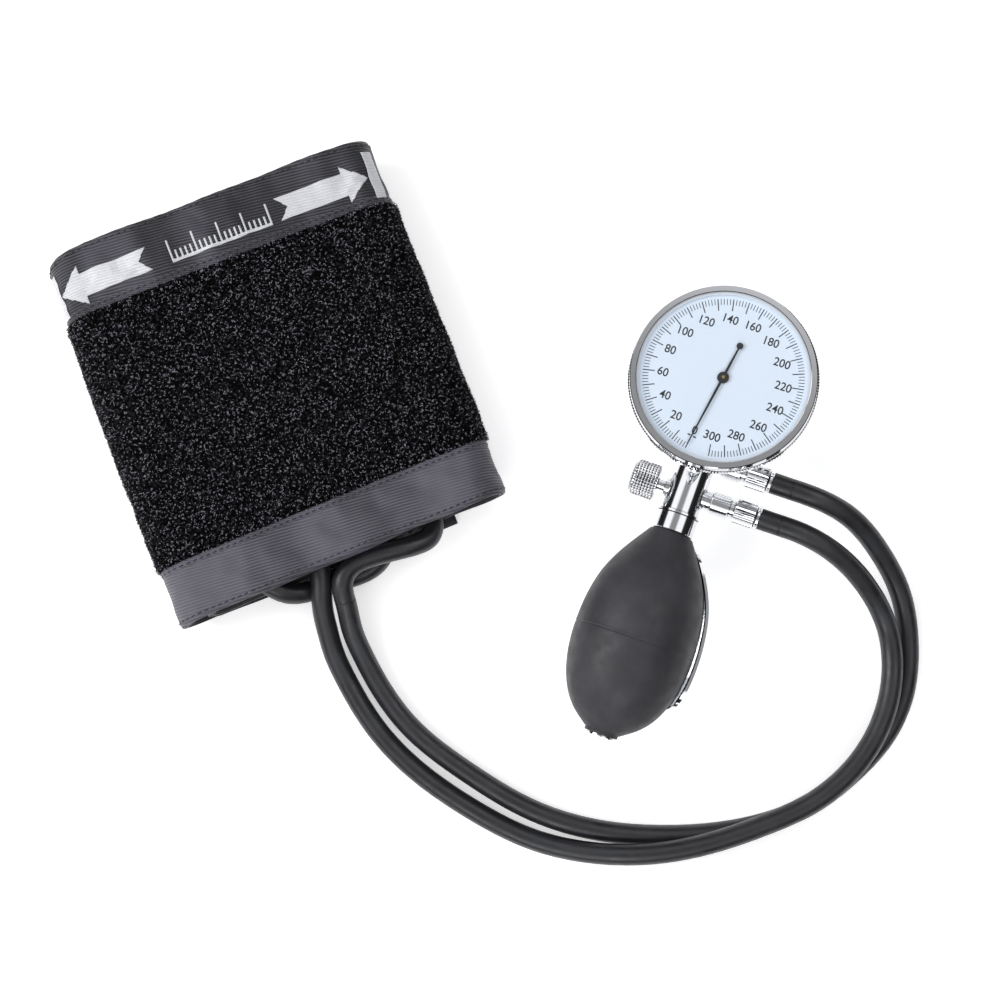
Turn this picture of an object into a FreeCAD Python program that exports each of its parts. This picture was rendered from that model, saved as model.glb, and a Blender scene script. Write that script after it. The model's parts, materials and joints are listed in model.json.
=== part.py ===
import FreeCAD, Part
import math
import os
import re

import Sketcher
from FreeCAD import Placement, Rotation, Vector

# Aneroid blood pressure monitor for the upper arm, laid out on a table: a folded cuff with its
# bladder, two hoses, and a hand-held gauge with release valve, bulb and spoon guard.
# Millimetres, +Z up, origin on the table under the middle of the whole layout.

doc = FreeCAD.newDocument("blood_pressure_monitor")
sheet = doc.addObject("Spreadsheet::Sheet", "dim")

# Driving dimensions: alias, value. Stations are distances from the gauge axis towards the bulb,
# levels are distances from the handset axis towards the dial, reaches are distances from the
# handset axis sideways.
DIMENSIONS = [
    # layout on the table
    ("cuff_x", -81.0), ("cuff_y", 45.8), ("cuff_turn", 21.4),
    ("handset_x", 90.6), ("handset_y", 38.5), ("handset_height", 25.9),
    ("handset_turn", -20.0), ("handset_roll", -6.0),
    # handset tube and its channels
    ("tube_radius", 7.3), ("tube_overrun", 9.0), ("tube_chamfer", 1.0),
    ("shoulder_station", 48.6), ("spigot_radius", 4.9), ("spigot_end", 64.0),
    ("channel_radius", 2.0), ("chamber_radius", 3.2), ("chamber_top", 54.0),
    ("lower_channel_top", 36.0), ("upper_channel_end", 30.0), ("upper_channel_start", 4.0),
    ("link_radius", 1.2), ("slip", 0.05),
    # gauge boss
    ("boss_radius", 6.5), ("boss_level", 9.3), ("stem_radius", 4.0), ("stem_foot", 2.3),
    # side ports
    ("upper_port", 26.0), ("lower_port", 40.5), ("port_neck_radius", 3.65), ("port_depth", 3.0),
    ("port_bore", 1.6), ("barrel_start", 10.1), ("barrel_end", 17.3), ("barrel_radius", 4.3),
    ("barrel_chamfer", 0.3), ("nut_start", 19.3), ("male_radius", 3.0), ("male_end", 23.2),
    ("flange_start", 24.2), ("flange_end", 24.8), ("nut_end", 27.9), ("nut_radius", 4.7),
    ("barb_radius", 2.4), ("barb_bore", 1.5), ("barb_end", 43.0), ("seal_radius", 0.45),
    ("washer_start", 28.2), ("washer_end", 29.0), ("washer_radius", 4.5),
    # release valve
    ("seat_radius", 3.6), ("seat_depth", 2.6), ("seat_reach", 8.2), ("seat_hole", 0.9),
    ("needle_radius", 2.25), ("needle_tip", 3.5), ("needle_cone", 1.25), ("needle_end", 20.0),
    ("knob_start", 11.4), ("knob_end", 22.0), ("knob_radius", 6.85),
    # outlet check valve
    ("check_seat_start", 61.6), ("check_ball_radius", 2.2),
    # collar, spoon guard and bulb
    ("ring_radius", 8.3), ("ring_thickness", 0.8), ("collar_start", 49.5), ("collar_end", 56.5),
    ("collar_radius", 7.9), ("collar_bore", 7.3), ("neck_radius", 7.2), ("bulb_wall", 2.2),
    ("spoon_thickness", 1.1), ("spoon_roll", 19.0), ("spoon_half_angle", 72.0),
    ("bulb_lip_radius", 6.5), ("bulb_end", 137.2),
    # inlet valve in the bulb's tail
    ("inlet_radius", 4.45), ("inlet_start", 129.5), ("inlet_seat", 135.0), ("inlet_end", 138.1),
    ("inlet_flange", 5.3), ("inlet_chamber", 2.3), ("inlet_ball_radius", 1.8),
    # gauge case, dial and lens
    ("case_floor", 10.1), ("case_wall", 1.2), ("case_radius", 32.2), ("case_round", 6.0),
    ("dial_seat", 30.2), ("dial_thickness", 0.75), ("dial_radius", 32.1), ("dial_hole", 2.2),
    ("lens_level", 32.6), ("lens_thickness", 0.7), ("spacer_width", 1.2),
    ("bezel_radius", 35.0), ("bezel_bore", 32.3), ("bezel_foot", 25.5), ("bezel_top", 33.75),
    ("bezel_lip", 31.7),
    # movement
    ("plate_radius", 20.5), ("plate_thickness", 0.8), ("base_level", 11.35),
    ("base_thickness", 1.2), ("pillar_circle", 18.0), ("pillar_radius", 1.5),
    ("screw_radius", 0.7), ("lower_bridge_level", 24.6), ("upper_bridge_level", 28.2),
    ("journal_radius", 0.6), ("gear_module", 0.3), ("pinion_teeth", 10),
    ("sector_teeth", 100), ("sector_level", 26.2), ("sector_turn", 34.26),
    ("capsule_radius", 15.0), ("capsule_rim", 17.4), ("capsule_top", 19.8), ("foil", 0.3),
    ("rocker_level", 21.2), ("rocker_offset", 4.2), ("rocker_slant", 21.3),
    ("tail_arm", 2.65), ("tail_pin", 0.35),
    ("pointer_level", 32.0), ("pointer_reach", 27.7), ("pointer_tail", 13.0),
    ("pointer_clock", 188.7),
    # hoses
    ("hose_radius", 4.1), ("hose_bore", 2.5),
    # cuff
    ("cuff_height", 150.0), ("strip_half", 1.45), ("cloth_inner", 0.75), ("bladder_half", 0.7),
    ("end_run", 100.5), ("left_round", 11.6), ("crown_angle", 6.0), ("crown_run", 112.0),
    ("right_round", 9.62), ("inner_run", 104.0), ("inner_round", 7.8), ("tuck_run", 90.0),
    ("roll_shift", 1.2), ("nipple_radius", 2.05), ("nipple_length", 10.5),
    ("pile_thickness", 1.6), ("pile_top", 48.5), ("pile_bottom", -53.0),
    ("bulb_tube_x", 16.8), ("gauge_tube_x", 37.1), ("tube_level", 7.95),
]

for row, (alias, value) in enumerate(DIMENSIONS, start=1):
    sheet.set("A%d" % row, alias)
    sheet.set("B%d" % row, str(value))
    sheet.setAlias("B%d" % row, alias)
doc.recompute()

parts = []


def bound(expression):
    """The expression with every alias pointed at the sheet."""
    return re.sub(r"[a-z][a-z_]*", lambda word: "dim." + word.group(0), str(expression))


def size(expression):
    """The number that an expression of sheet aliases gives."""
    return float(sheet.evalExpression(bound(expression)))


def added(label, thing, place):
    """Registers a finished sub-part under its own name and place."""
    thing.Label = label
    thing.Placement = place
    parts.append(thing)
    return thing


def solid(label, shape, place):
    """A sub-part whose shape is made directly."""
    feature = doc.addObject("Part::Feature", label)
    feature.Shape = shape
    return added(label, feature, place * shape.Placement)


def origin_plane(body, role):
    return [plane for plane in body.Origin.OriginFeatures if plane.Role == role][0]


def fix_point(sketch, line, kind, axis, expression):
    """Ties a line's first point to a sheet expression, or to the axis where that is zero."""
    value = size(expression)
    if abs(value) < 1e-9:
        sketch.addConstraint(Sketcher.Constraint("PointOnObject", line, 1, axis))
        return
    number = sketch.addConstraint(Sketcher.Constraint(kind, -1, 1, line, 1, value))
    sketch.setExpression("Constraints[%d]" % number, bound(expression))


def turned(label, place, outline):
    """A body turned about its own Z axis; the outline lists (radius, height) expressions."""
    body = doc.addObject("PartDesign::Body", label)
    sketch = body.newObject("Sketcher::SketchObject", label + "_outline")
    sketch.AttachmentSupport = [(origin_plane(body, "XZ_Plane"), "")]
    sketch.MapMode = "FlatFace"
    points = [Vector(size(radius), size(height), 0) for radius, height in outline]
    for start, end in zip(points, points[1:] + points[:1]):
        sketch.addGeometry(Part.LineSegment(start, end), False)
    for line in range(len(points)):
        following = (line + 1) % len(points)
        sketch.addConstraint(Sketcher.Constraint("Coincident", line, 2, following, 1))
    for line, (radius, height) in enumerate(outline):
        fix_point(sketch, line, "DistanceX", -2, radius)
        fix_point(sketch, line, "DistanceY", -1, height)
    turn = body.newObject("PartDesign::Revolution", label + "_turn")
    turn.Profile = sketch
    turn.ReferenceAxis = (sketch, ["V_Axis"])
    turn.Angle = 360
    body.Tip = turn
    return added(label, body, place)


def cylinder(body, kind, name, radius, length, place):
    """Adds or drills a cylinder in a body; place is where its foot sits and where it points."""
    tool = body.newObject("PartDesign::%sCylinder" % kind, name)
    tool.setExpression("Radius", bound(radius))
    tool.setExpression("Height", bound(length))
    tool.Placement = place
    body.Tip = tool
    return tool


def rounded(body, radius, rims):
    """Fillets the circular edges named by their (radius, height) expressions."""
    doc.recompute()
    base = body.Tip
    wanted = [(size(rim), size(height)) for rim, height in rims]
    names = []
    for index, edge in enumerate(base.Shape.Edges, start=1):
        if edge.Curve.TypeId != "Part::GeomCircle":
            continue
        found = (edge.Curve.Radius, edge.Curve.Center.z)
        if any(math.dist(found, rim) < 1e-3 for rim in wanted):
            names.append("Edge%d" % index)
    fillet = body.newObject("PartDesign::Fillet", body.Name + "_round")
    fillet.Base = (base, names)
    fillet.setExpression("Radius", bound(radius))
    body.Tip = fillet


def face_of(points):
    """A flat face inside a closed row of points."""
    return Part.Face(Part.makePolygon(points + points[:1]))


def revolved(outline):
    """A solid of revolution about Z from (radius, height) expressions."""
    points = [Vector(size(radius), 0, size(height)) for radius, height in outline]
    return face_of(points).revolve(Vector(0, 0, 0), Vector(0, 0, 1), 360)


def polar(radius, angle, level=0.0):
    """The point at a radius and an angle in radians."""
    return Vector(radius * math.cos(angle), radius * math.sin(angle), level)


def knurled(outline, rim, depth, count):
    """A turned solid whose rim is cut into straight ribs."""
    low = min(size(height) for _, height in outline)
    high = max(size(height) for _, height in outline)
    step = math.pi / count
    radii = (rim, rim - depth)
    ribs = [polar(radii[index % 2], index * step, low) for index in range(2 * count)]
    return revolved(outline).common(face_of(ribs).extrude(Vector(0, 0, high - low)))


def boxed(low, high):
    """A box between two corners."""
    span = Vector(*high) - Vector(*low)
    return Part.makeBox(span.x, span.y, span.z, Vector(*low))


def rod(radius, start, end, x=0.0, y=0.0):
    """An upright round rod."""
    return Part.makeCylinder(radius, end - start, Vector(x, y, start))


# ---------------------------------------------------------------- frames of the layout

turn = Rotation(Vector(0, 0, 1), size("handset_turn"))
roll = Rotation(Vector(0, 1, 0), size("handset_roll"))
hand_spot = Vector(size("handset_x"), size("handset_y"), size("handset_height"))
handset = Placement(hand_spot, turn * roll)
cuff_spot = Vector(size("cuff_x"), size("cuff_y"), 0)
cuff_place = Placement(cuff_spot, Rotation(Vector(0, 0, 1), size("cuff_turn")))

DOWN = Rotation(Vector(1, 0, 0), 90)       # local Z runs towards the bulb
OUT = Rotation(Vector(0, 1, 0), 90)        # local Z runs towards the hose ports
AWAY = Rotation(Vector(0, 1, 0), -90)      # local Z runs towards the release knob
bulb_axis = handset * Placement(Vector(0, 0, 0), DOWN)
dial_axis = handset


def side(station, direction):
    """The frame of a side fitting at a station along the handset tube."""
    return handset * Placement(Vector(0, -size(station), 0), direction)


# ---------------------------------------------------------------- handset tube and valves

def make_valve_body():
    place = handset * Placement(Vector(0, size("tube_overrun"), 0), DOWN)
    body = turned("valve_body", place, [
        ("0", "0"),
        ("tube_radius - tube_chamfer", "0"),
        ("tube_radius", "tube_chamfer"),
        ("tube_radius", "tube_overrun + shoulder_station"),
        ("spigot_radius", "tube_overrun + shoulder_station"),
        ("spigot_radius", "tube_overrun + spigot_end"),
        ("chamber_radius", "tube_overrun + spigot_end"),
        ("chamber_radius", "tube_overrun + chamber_top"),
        ("channel_radius", "tube_overrun + chamber_top"),
        ("channel_radius", "tube_overrun + lower_channel_top"),
        ("0", "tube_overrun + lower_channel_top"),
    ])

    def across(station, start, direction):
        height = size("tube_overrun + " + station)
        spot = Vector(0, 0, height) + direction * size(start)
        return Placement(spot, Rotation(Vector(0, 0, 1), direction))

    up = Vector(0, 1, 0)
    right = Vector(1, 0, 0)
    left = Vector(-1, 0, 0)
    cylinder(body, "Additive", "boss", "boss_radius", "boss_level", across("0", "0", up))
    cylinder(body, "Subtractive", "stem_hole", "stem_radius + slip", "boss_level",
             across("0", "stem_foot - slip", up))
    cylinder(body, "Subtractive", "stem_link", "link_radius", "stem_foot", across("0", "0", up))
    cylinder(body, "Subtractive", "upper_channel", "channel_radius",
             "upper_channel_start + upper_channel_end",
             Placement(Vector(0, 0, size("tube_overrun - upper_channel_start")), Rotation()))
    for station in ("upper_port", "lower_port"):
        cylinder(body, "Subtractive", station + "_hole", "port_neck_radius + slip", "tube_radius",
                 across(station, "port_depth - slip", right))
        cylinder(body, "Subtractive", station + "_link", "link_radius", "port_depth",
                 across(station, "0", right))
    cylinder(body, "Subtractive", "seat_pocket", "seat_radius + slip", "tube_radius",
             across("lower_port", "seat_depth - slip", left))
    cylinder(body, "Subtractive", "seat_link", "link_radius", "seat_depth",
             across("lower_port", "0", left))


def make_port(prefix, station):
    place = side(station, OUT)
    turned(prefix + "_port_stub", place, [
        ("port_bore", "port_depth"),
        ("port_neck_radius", "port_depth"),
        ("port_neck_radius", "barrel_start"),
        ("barrel_radius - barrel_chamfer", "barrel_start"),
        ("barrel_radius", "barrel_start + barrel_chamfer"),
        ("barrel_radius", "barrel_end - barrel_chamfer"),
        ("barrel_radius - barrel_chamfer", "barrel_end"),
        ("male_radius + barrel_chamfer", "barrel_end"),
        ("male_radius + barrel_chamfer", "nut_start - slip"),
        ("male_radius", "nut_start - slip"),
        ("male_radius", "male_end"),
        ("port_bore", "male_end"),
    ])
    turned(prefix + "_barb_stem", place, [
        ("barb_bore", "flange_start"),
        ("male_radius - slip", "flange_start"),
        ("male_radius - slip", "flange_end"),
        ("barb_radius", "flange_end"),
        ("barb_radius", "barb_end - 9"),
        ("barb_radius - 0.4", "barb_end - 9"),
        ("barb_radius", "barb_end - 6"),
        ("barb_radius - 0.4", "barb_end - 6"),
        ("barb_radius", "barb_end - 3"),
        ("barb_radius - 0.4", "barb_end"),
        ("barb_bore", "barb_end"),
    ])
    nut = knurled([
        ("male_radius + slip", "nut_start"),
        ("nut_radius - 0.6", "nut_start"),
        ("nut_radius", "nut_start + 0.6"),
        ("nut_radius", "nut_end - 0.8"),
        ("nut_radius - 0.8", "nut_end"),
        ("barb_radius + slip", "nut_end"),
        ("barb_radius + slip", "flange_end + slip"),
        ("male_radius + slip", "flange_end + slip"),
    ], size("nut_radius"), 0.35, 30)
    solid(prefix + "_union_nut", nut, place)


def make_port_rings():
    """The two seals and the two hose stop washers, one pair at each port."""
    middle = (size("male_end") + size("flange_start")) / 2
    seal = Part.makeTorus(2.3, size("seal_radius"), Vector(0, 0, middle))
    washer = revolved([
        ("barb_radius + slip", "washer_start"),
        ("washer_radius", "washer_start"),
        ("washer_radius", "washer_end"),
        ("barb_radius + slip", "washer_end"),
    ])
    places = [Placement(Vector(0, -size(port), 0), OUT) for port in ("upper_port", "lower_port")]
    for label, ring in (("port_seals", seal), ("hose_stop_washers", washer)):
        pair = [ring.transformed(place.toMatrix()) for place in places]
        solid(label, Part.makeCompound(pair), handset)


def make_release_valve():
    place = side("lower_port", AWAY)
    turned("release_valve_seat", place, [
        ("seat_hole", "seat_depth"),
        ("seat_radius", "seat_depth"),
        ("seat_radius", "seat_reach"),
        ("needle_radius + slip", "seat_reach"),
        ("needle_radius + slip", "needle_tip + needle_cone - 0.3"),
        ("seat_hole", "needle_tip - 0.3"),
    ])
    turned("release_needle", place, [
        ("0", "needle_tip"),
        ("seat_hole - 0.1", "needle_tip"),
        ("needle_radius", "needle_tip + needle_cone + 0.1"),
        ("needle_radius", "needle_end"),
        ("0", "needle_end"),
    ])
    knob = knurled([
        ("needle_radius + slip", "knob_start"),
        ("knob_radius - 1.2", "knob_start"),
        ("knob_radius", "knob_start + 0.7"),
        ("knob_radius", "knob_start + 4.9"),
        ("knob_radius - 0.5", "knob_start + 5.2"),
        ("knob_radius", "knob_start + 5.5"),
        ("knob_radius", "knob_end - 2.2"),
        ("knob_radius - 0.7", "knob_end - 1.0"),
        ("knob_radius - 2.2", "knob_end - 0.3"),
        ("knob_radius - 3.6", "knob_end"),
        ("0", "knob_end"),
        ("0", "needle_end + 0.2"),
        ("needle_radius + slip", "needle_end + 0.2"),
    ], size("knob_radius"), 0.3, 64)
    solid("release_knob", knob, place)


def seated_ball(radius, hole, seat):
    """A ball resting on the rim of a hole, on the side of lower stations."""
    reach = math.sqrt(radius ** 2 - hole ** 2) + 0.02
    return Part.makeSphere(radius, Vector(0, 0, seat - reach))


def make_check_valve():
    turned("outlet_valve_seat", bulb_axis, [
        ("link_radius", "check_seat_start"),
        ("chamber_radius - slip", "check_seat_start"),
        ("chamber_radius - slip", "spigot_end"),
        ("link_radius", "spigot_end"),
    ])
    ball = seated_ball(size("check_ball_radius"), size("link_radius"), size("check_seat_start"))
    solid("outlet_valve_ball", ball, bulb_axis)


# ---------------------------------------------------------------- bulb, collar, spoon guard

# Outline of the rubber bulb from its neck to its tail: (station, radius).
BULB_OUTLINE = [(57.2, 8.4), (64.0, 12.9), (76.0, 19.4), (97.5, 23.3), (118.4, 20.6), (130.5, 13.5),
                (135.7, 6.9)]


def bulb_curve(inset):
    """The bulb's outline moved inwards by a wall thickness."""
    shift = 0.9 * inset
    middle = 97.5
    points = []
    for station, radius in BULB_OUTLINE:
        drawn = station + shift * (middle - station) / 40.0
        points.append(Vector(radius - inset, 0, drawn))
    curve = Part.BSplineCurve()
    curve.interpolate(points)
    return curve


def bulb_radius(curve, station):
    """The outline's radius at a station, found by halving the parameter range."""
    low, high = curve.FirstParameter, curve.LastParameter
    for _ in range(40):
        middle = (low + high) / 2
        if curve.value(middle).z < station:
            low = middle
        else:
            high = middle
    return curve.value(low).x


def make_collar():
    turned("bulb_collar", bulb_axis, [
        ("spigot_radius + slip", "collar_start"),
        ("collar_radius - 0.2", "collar_start"),
        ("collar_radius", "collar_start + 0.3"),
        ("collar_radius", "collar_end - 0.3"),
        ("collar_radius - 0.2", "collar_end"),
        ("collar_bore", "collar_end"),
        ("collar_bore", "collar_start + 0.8"),
        ("spigot_radius + slip", "collar_start + 0.8"),
    ])


def make_bulb():
    outer = bulb_curve(0.0)
    inner = bulb_curve(size("bulb_wall"))
    neck, bore, lip = size("neck_radius"), size("spigot_radius + slip"), size("bulb_lip_radius")
    start, end, tail = size("collar_start + 0.9"), size("bulb_end"), size("inlet_radius + slip")
    first, last = outer.value(outer.FirstParameter), outer.value(outer.LastParameter)
    hollow, pocket = inner.value(inner.FirstParameter), inner.value(inner.LastParameter)
    skin = [
        Vector(bore, 0, start), Vector(neck, 0, start), Vector(neck, 0, first.z - 0.5), first,
    ]
    foot = [last, Vector(lip, 0, last.z + 0.1), Vector(lip, 0, end), Vector(tail, 0, end),
            Vector(tail, 0, pocket.z), pocket]
    edges = [Part.LineSegment(a, b).toShape() for a, b in zip(skin, skin[1:])]
    edges.append(outer.toShape())
    edges += [Part.LineSegment(a, b).toShape() for a, b in zip(foot, foot[1:])]
    edges.append(inner.toShape())
    edges.append(Part.LineSegment(hollow, Vector(bore, 0, hollow.z)).toShape())
    edges.append(Part.LineSegment(Vector(bore, 0, hollow.z), skin[0]).toShape())
    profile = Part.Face(Part.Wire(Part.__sortEdges__(edges)))
    solid("bulb", profile.revolve(Vector(0, 0, 0), Vector(0, 0, 1), 360), bulb_axis)


def spoon_section(station, inner, half_angle):
    """One cross-section of the guard: a thin arc around the bulb's axis."""
    outer = inner + size("spoon_thickness")
    # Local -Y faces away from the dial; the guard is rolled towards the hose ports.
    middle = math.radians(-90 + size("spoon_roll"))
    half = math.radians(half_angle)
    a, b = middle - half, middle + half
    far = Part.Arc(polar(outer, a, station), polar(outer, middle, station), polar(outer, b, station))
    near = Part.Arc(polar(inner, b, station), polar(inner, middle, station), polar(inner, a, station))
    return Part.Wire([
        far.toShape(),
        Part.LineSegment(polar(outer, b, station), polar(inner, b, station)).toShape(),
        near.toShape(),
        Part.LineSegment(polar(inner, a, station), polar(outer, a, station)).toShape(),
    ])


def make_spoon_guard():
    curve = bulb_curve(0.0)
    widest = size("spoon_half_angle")
    shank = size("ring_radius - 0.1")
    top, root = size("shoulder_station + slip"), size("collar_end + 0.2")

    def bowl_section(station, share):
        """A section that follows the bulb, from a share of the guard's full width."""
        gap = 0.5 + 1.2 * (station - root) / 62.0
        return spoon_section(station, bulb_radius(curve, station) + gap, widest * share)

    spread = [(63, 0.93), (70, 1.0), (80, 1.0), (92, 1.0), (104, 1.0), (112, 0.98),
              (117, 0.86), (120, 0.6), (121.5, 0.2)]
    throat = bowl_section(59.5, 0.72)
    straight = Part.makeLoft([spoon_section(top, shank, 34), spoon_section(root, shank, 34)], True, True)
    flare = Part.makeLoft([spoon_section(root, shank, 34), throat], True, True)
    bowl = Part.makeLoft([throat] + [bowl_section(*each) for each in spread], True, False)
    ring = revolved([
        ("spigot_radius + slip", "shoulder_station + slip"),
        ("ring_radius", "shoulder_station + slip"),
        ("ring_radius", "shoulder_station + slip + ring_thickness"),
        ("spigot_radius + slip", "shoulder_station + slip + ring_thickness"),
    ])
    solid("spoon_guard", ring.fuse([straight, flare, bowl]), bulb_axis)


def make_inlet_valve():
    turned("inlet_valve_body", bulb_axis, [
        ("inlet_chamber", "inlet_start"),
        ("inlet_radius", "inlet_start"),
        ("inlet_radius", "bulb_end + 0.05"),
        ("inlet_flange", "bulb_end + 0.05"),
        ("inlet_flange", "inlet_end - 0.3"),
        ("inlet_flange - 0.3", "inlet_end"),
        ("link_radius", "inlet_end"),
        ("link_radius", "inlet_seat"),
        ("inlet_chamber", "inlet_seat"),
    ])
    ball = seated_ball(size("inlet_ball_radius"), size("link_radius"), size("inlet_seat"))
    solid("inlet_valve_ball", ball, bulb_axis)
    start = size("inlet_start") + 0.1
    screen = rod(size("inlet_chamber - slip"), start, start + 0.4)
    for index in range(6):
        spot = polar(1.4, index * math.pi / 3)
        screen = screen.cut(rod(0.35, start - 1, start + 1, spot.x, spot.y))
    solid("inlet_screen", screen, bulb_axis)


# ---------------------------------------------------------------- gauge case and dial

def disc(label, radius, hole, level, thickness):
    """A flat ring about the dial axis, or a plain disc where the hole is zero."""
    top = "%s + %s" % (level, thickness)
    return turned(label, dial_axis, [(hole, level), (radius, level), (radius, top), (hole, top)])


def make_gauge_case():
    case = turned("gauge_case", dial_axis, [
        ("stem_radius + slip", "case_floor"),
        ("case_radius", "case_floor"),
        ("case_radius", "dial_seat"),
        ("case_radius - case_wall", "dial_seat"),
        ("case_radius - case_wall", "case_floor + case_wall"),
        ("stem_radius + slip", "case_floor + case_wall"),
    ])
    rounded(case, "case_round - case_wall", [("case_radius - case_wall", "case_floor + case_wall")])
    rounded(case, "case_round", [("case_radius", "case_floor")])
    disc("dial_plate", "dial_radius", "dial_hole", "dial_seat + slip", "dial_thickness")
    disc("lens_spacer", "dial_radius", "dial_radius - spacer_width",
         "dial_seat + dial_thickness + slip + slip", "lens_level - dial_seat - dial_thickness - slip * 3")
    disc("gauge_lens", "dial_radius", "0", "lens_level", "lens_thickness")
    bezel = knurled([
        ("bezel_bore", "bezel_foot"),
        ("bezel_radius - 0.7", "bezel_foot"),
        ("bezel_radius", "bezel_foot + 0.7"),
        ("bezel_radius", "bezel_foot + 4.2"),
        ("bezel_radius - 0.45", "bezel_foot + 4.6"),
        ("bezel_radius - 0.9", "bezel_top - 0.25"),
        ("bezel_radius - 1.2", "bezel_top"),
        ("bezel_lip + 0.2", "bezel_top"),
        ("bezel_lip", "bezel_top - 0.2"),
        ("bezel_lip", "lens_level + lens_thickness + slip"),
        ("bezel_bore", "lens_level + lens_thickness + slip"),
    ], size("bezel_radius"), 0.35, 200)
    solid("gauge_bezel", bezel, dial_axis)


STEM_NUT_RADIUS = 6.9       # across the corners
STEM_NUT_HEIGHT = 1.8


def make_stem():
    turned("pressure_stem", dial_axis, [
        ("link_radius", "stem_foot"),
        ("stem_radius", "stem_foot"),
        ("stem_radius", "base_level + base_thickness + 1.95"),
        ("barb_radius + slip", "base_level + base_thickness + 1.95"),
        ("barb_radius + slip", "base_level + base_thickness + 0.45"),
        ("link_radius", "base_level + base_thickness + 0.45"),
    ])
    disc("stem_gasket", "boss_radius - 0.1", "stem_radius + slip", "boss_level + slip",
         "case_floor - boss_level - slip * 2")
    disc("movement_base", "plate_radius", "stem_radius + slip", "base_level", "base_thickness")
    low = size("base_level + base_thickness + slip")
    corners = [polar(STEM_NUT_RADIUS, index * math.pi / 3, low) for index in range(6)]
    hexagon = face_of(corners).extrude(Vector(0, 0, STEM_NUT_HEIGHT))
    nut = hexagon.cut(rod(size("stem_radius + slip"), low - 1, low + 3))
    solid("stem_nut", nut, dial_axis)


# ---------------------------------------------------------------- movement

PILLAR_ANGLES = [math.radians(angle) for angle in (60, 180, 300)]
SCREW_HEAD = 1.6
SCREW_HEAD_HEIGHT = 0.8


def at_pillars(make):
    """The same piece at each of the three pillars."""
    spots = [polar(size("pillar_circle"), angle) for angle in PILLAR_ANGLES]
    return [make(spot.x, spot.y) for spot in spots]


def sector_pivot():
    """Distance between the pinion's axis and the sector's pivot."""
    return size("gear_module * (sector_teeth + pinion_teeth) / 2")


def rocker_spot(along, across, level):
    """A point given along the slanted rocking shaft, across it, and by its level."""
    slant = Rotation(Vector(0, 0, 1), size("rocker_slant"))
    return slant.multVec(Vector(along, across, level))


def rocker_box(along, across, levels):
    """A box lined up with the rocking shaft; each argument is a (low, high) pair."""
    box = boxed((along[0], across[0], levels[0]), (along[1], across[1], levels[1]))
    box.rotate(Vector(0, 0, 0), Vector(0, 0, 1), size("rocker_slant"))
    return box


def rocker_rod(radius, start, end):
    """A round bar on the rocking shaft's axis."""
    foot = rocker_spot(start, -size("rocker_offset"), size("rocker_level"))
    along = rocker_spot(1, 0, 0)
    return Part.makeCylinder(radius, end - start, foot, along)


FINGER_SPOT = 12.73      # where the finger stands along the rocking shaft
FINGER_HALF = 0.4
FINGER_TOP = 26.0


def involute(angle):
    return math.tan(angle) - angle


def tooth_edge(teeth, radius):
    """Half the angle that a tooth of a 20 degree involute gear spans at a radius."""
    pressure = math.radians(20)
    pitch = size("gear_module") * teeth / 2
    base = pitch * math.cos(pressure)
    backlash = 0.06
    half = (math.pi * size("gear_module") / 2 - backlash) / 2 / pitch
    lean = math.acos(min(1.0, base / radius))
    return half + involute(pressure) - involute(lean)


def tooth_points(teeth, centre, radii):
    """The outline of one tooth, from its root over its tip and back to its root."""
    rising = [polar(radius, centre - tooth_edge(teeth, radius)) for radius in radii]
    falling = [polar(radius, centre + tooth_edge(teeth, radius)) for radius in reversed(radii)]
    return rising + falling


def make_movement_frame():
    low = size("base_level + base_thickness + slip")
    lower, upper = size("lower_bridge_level"), size("upper_bridge_level")
    thick, slip = size("plate_thickness"), size("slip")
    shank = size("screw_radius")
    bearing = size("journal_radius") + slip
    pillar = size("pillar_radius")
    hole = shank + slip

    def lower_pillar(x, y):
        return rod(pillar, low, lower - slip, x, y).cut(rod(hole, lower - 3, lower, x, y))

    def spacer(x, y):
        return rod(pillar, lower + thick + slip, upper - slip, x, y).cut(
            rod(hole, lower, upper, x, y))

    def screw(x, y):
        head = upper + thick + slip
        return rod(shank, lower - 2.5, head, x, y).fuse(
            rod(SCREW_HEAD, head, head + SCREW_HEAD_HEIGHT, x, y))

    solid("movement_pillars", Part.makeCompound(at_pillars(lower_pillar)), dial_axis)
    solid("bridge_spacers", Part.makeCompound(at_pillars(spacer)), dial_axis)
    solid("bridge_screws", Part.makeCompound(at_pillars(screw)), dial_axis)

    def bridge(level):
        plate = rod(size("plate_radius"), level, level + thick)
        holes = [rod(hole, level - 1, level + 2, spot.x, spot.y)
                 for spot in (polar(size("pillar_circle"), angle) for angle in PILLAR_ANGLES)]
        holes.append(rod(bearing, level - 1, level + 2))
        holes.append(rod(bearing, level - 1, level + 2, sector_pivot(), 0))
        return plate.cut(Part.makeCompound(holes))

    lower_plate = bridge(lower)
    across = -size("rocker_offset")
    slot = rocker_box((FINGER_SPOT - 0.8, FINGER_SPOT + 0.8), (across - 2.3, across + 0.7),
                      (lower - 1, lower + 2))
    lower_plate = lower_plate.cut(slot)
    for spot in (-3.0, 10.5):
        block = rocker_box((spot - 0.6, spot + 0.6), (across - 1.2, across + 1.2),
                           (size("rocker_level") - 1.0, lower + 0.1))
        lower_plate = lower_plate.fuse(block)
    lower_plate = lower_plate.cut(rocker_rod(bearing, -5, 12))
    solid("lower_bridge", lower_plate.removeSplitter(), dial_axis)
    stud = rod(0.5, upper - 0.8, upper + 0.1, 6.6, 0)
    solid("upper_bridge", bridge(upper).fuse(stud), dial_axis)


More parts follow.
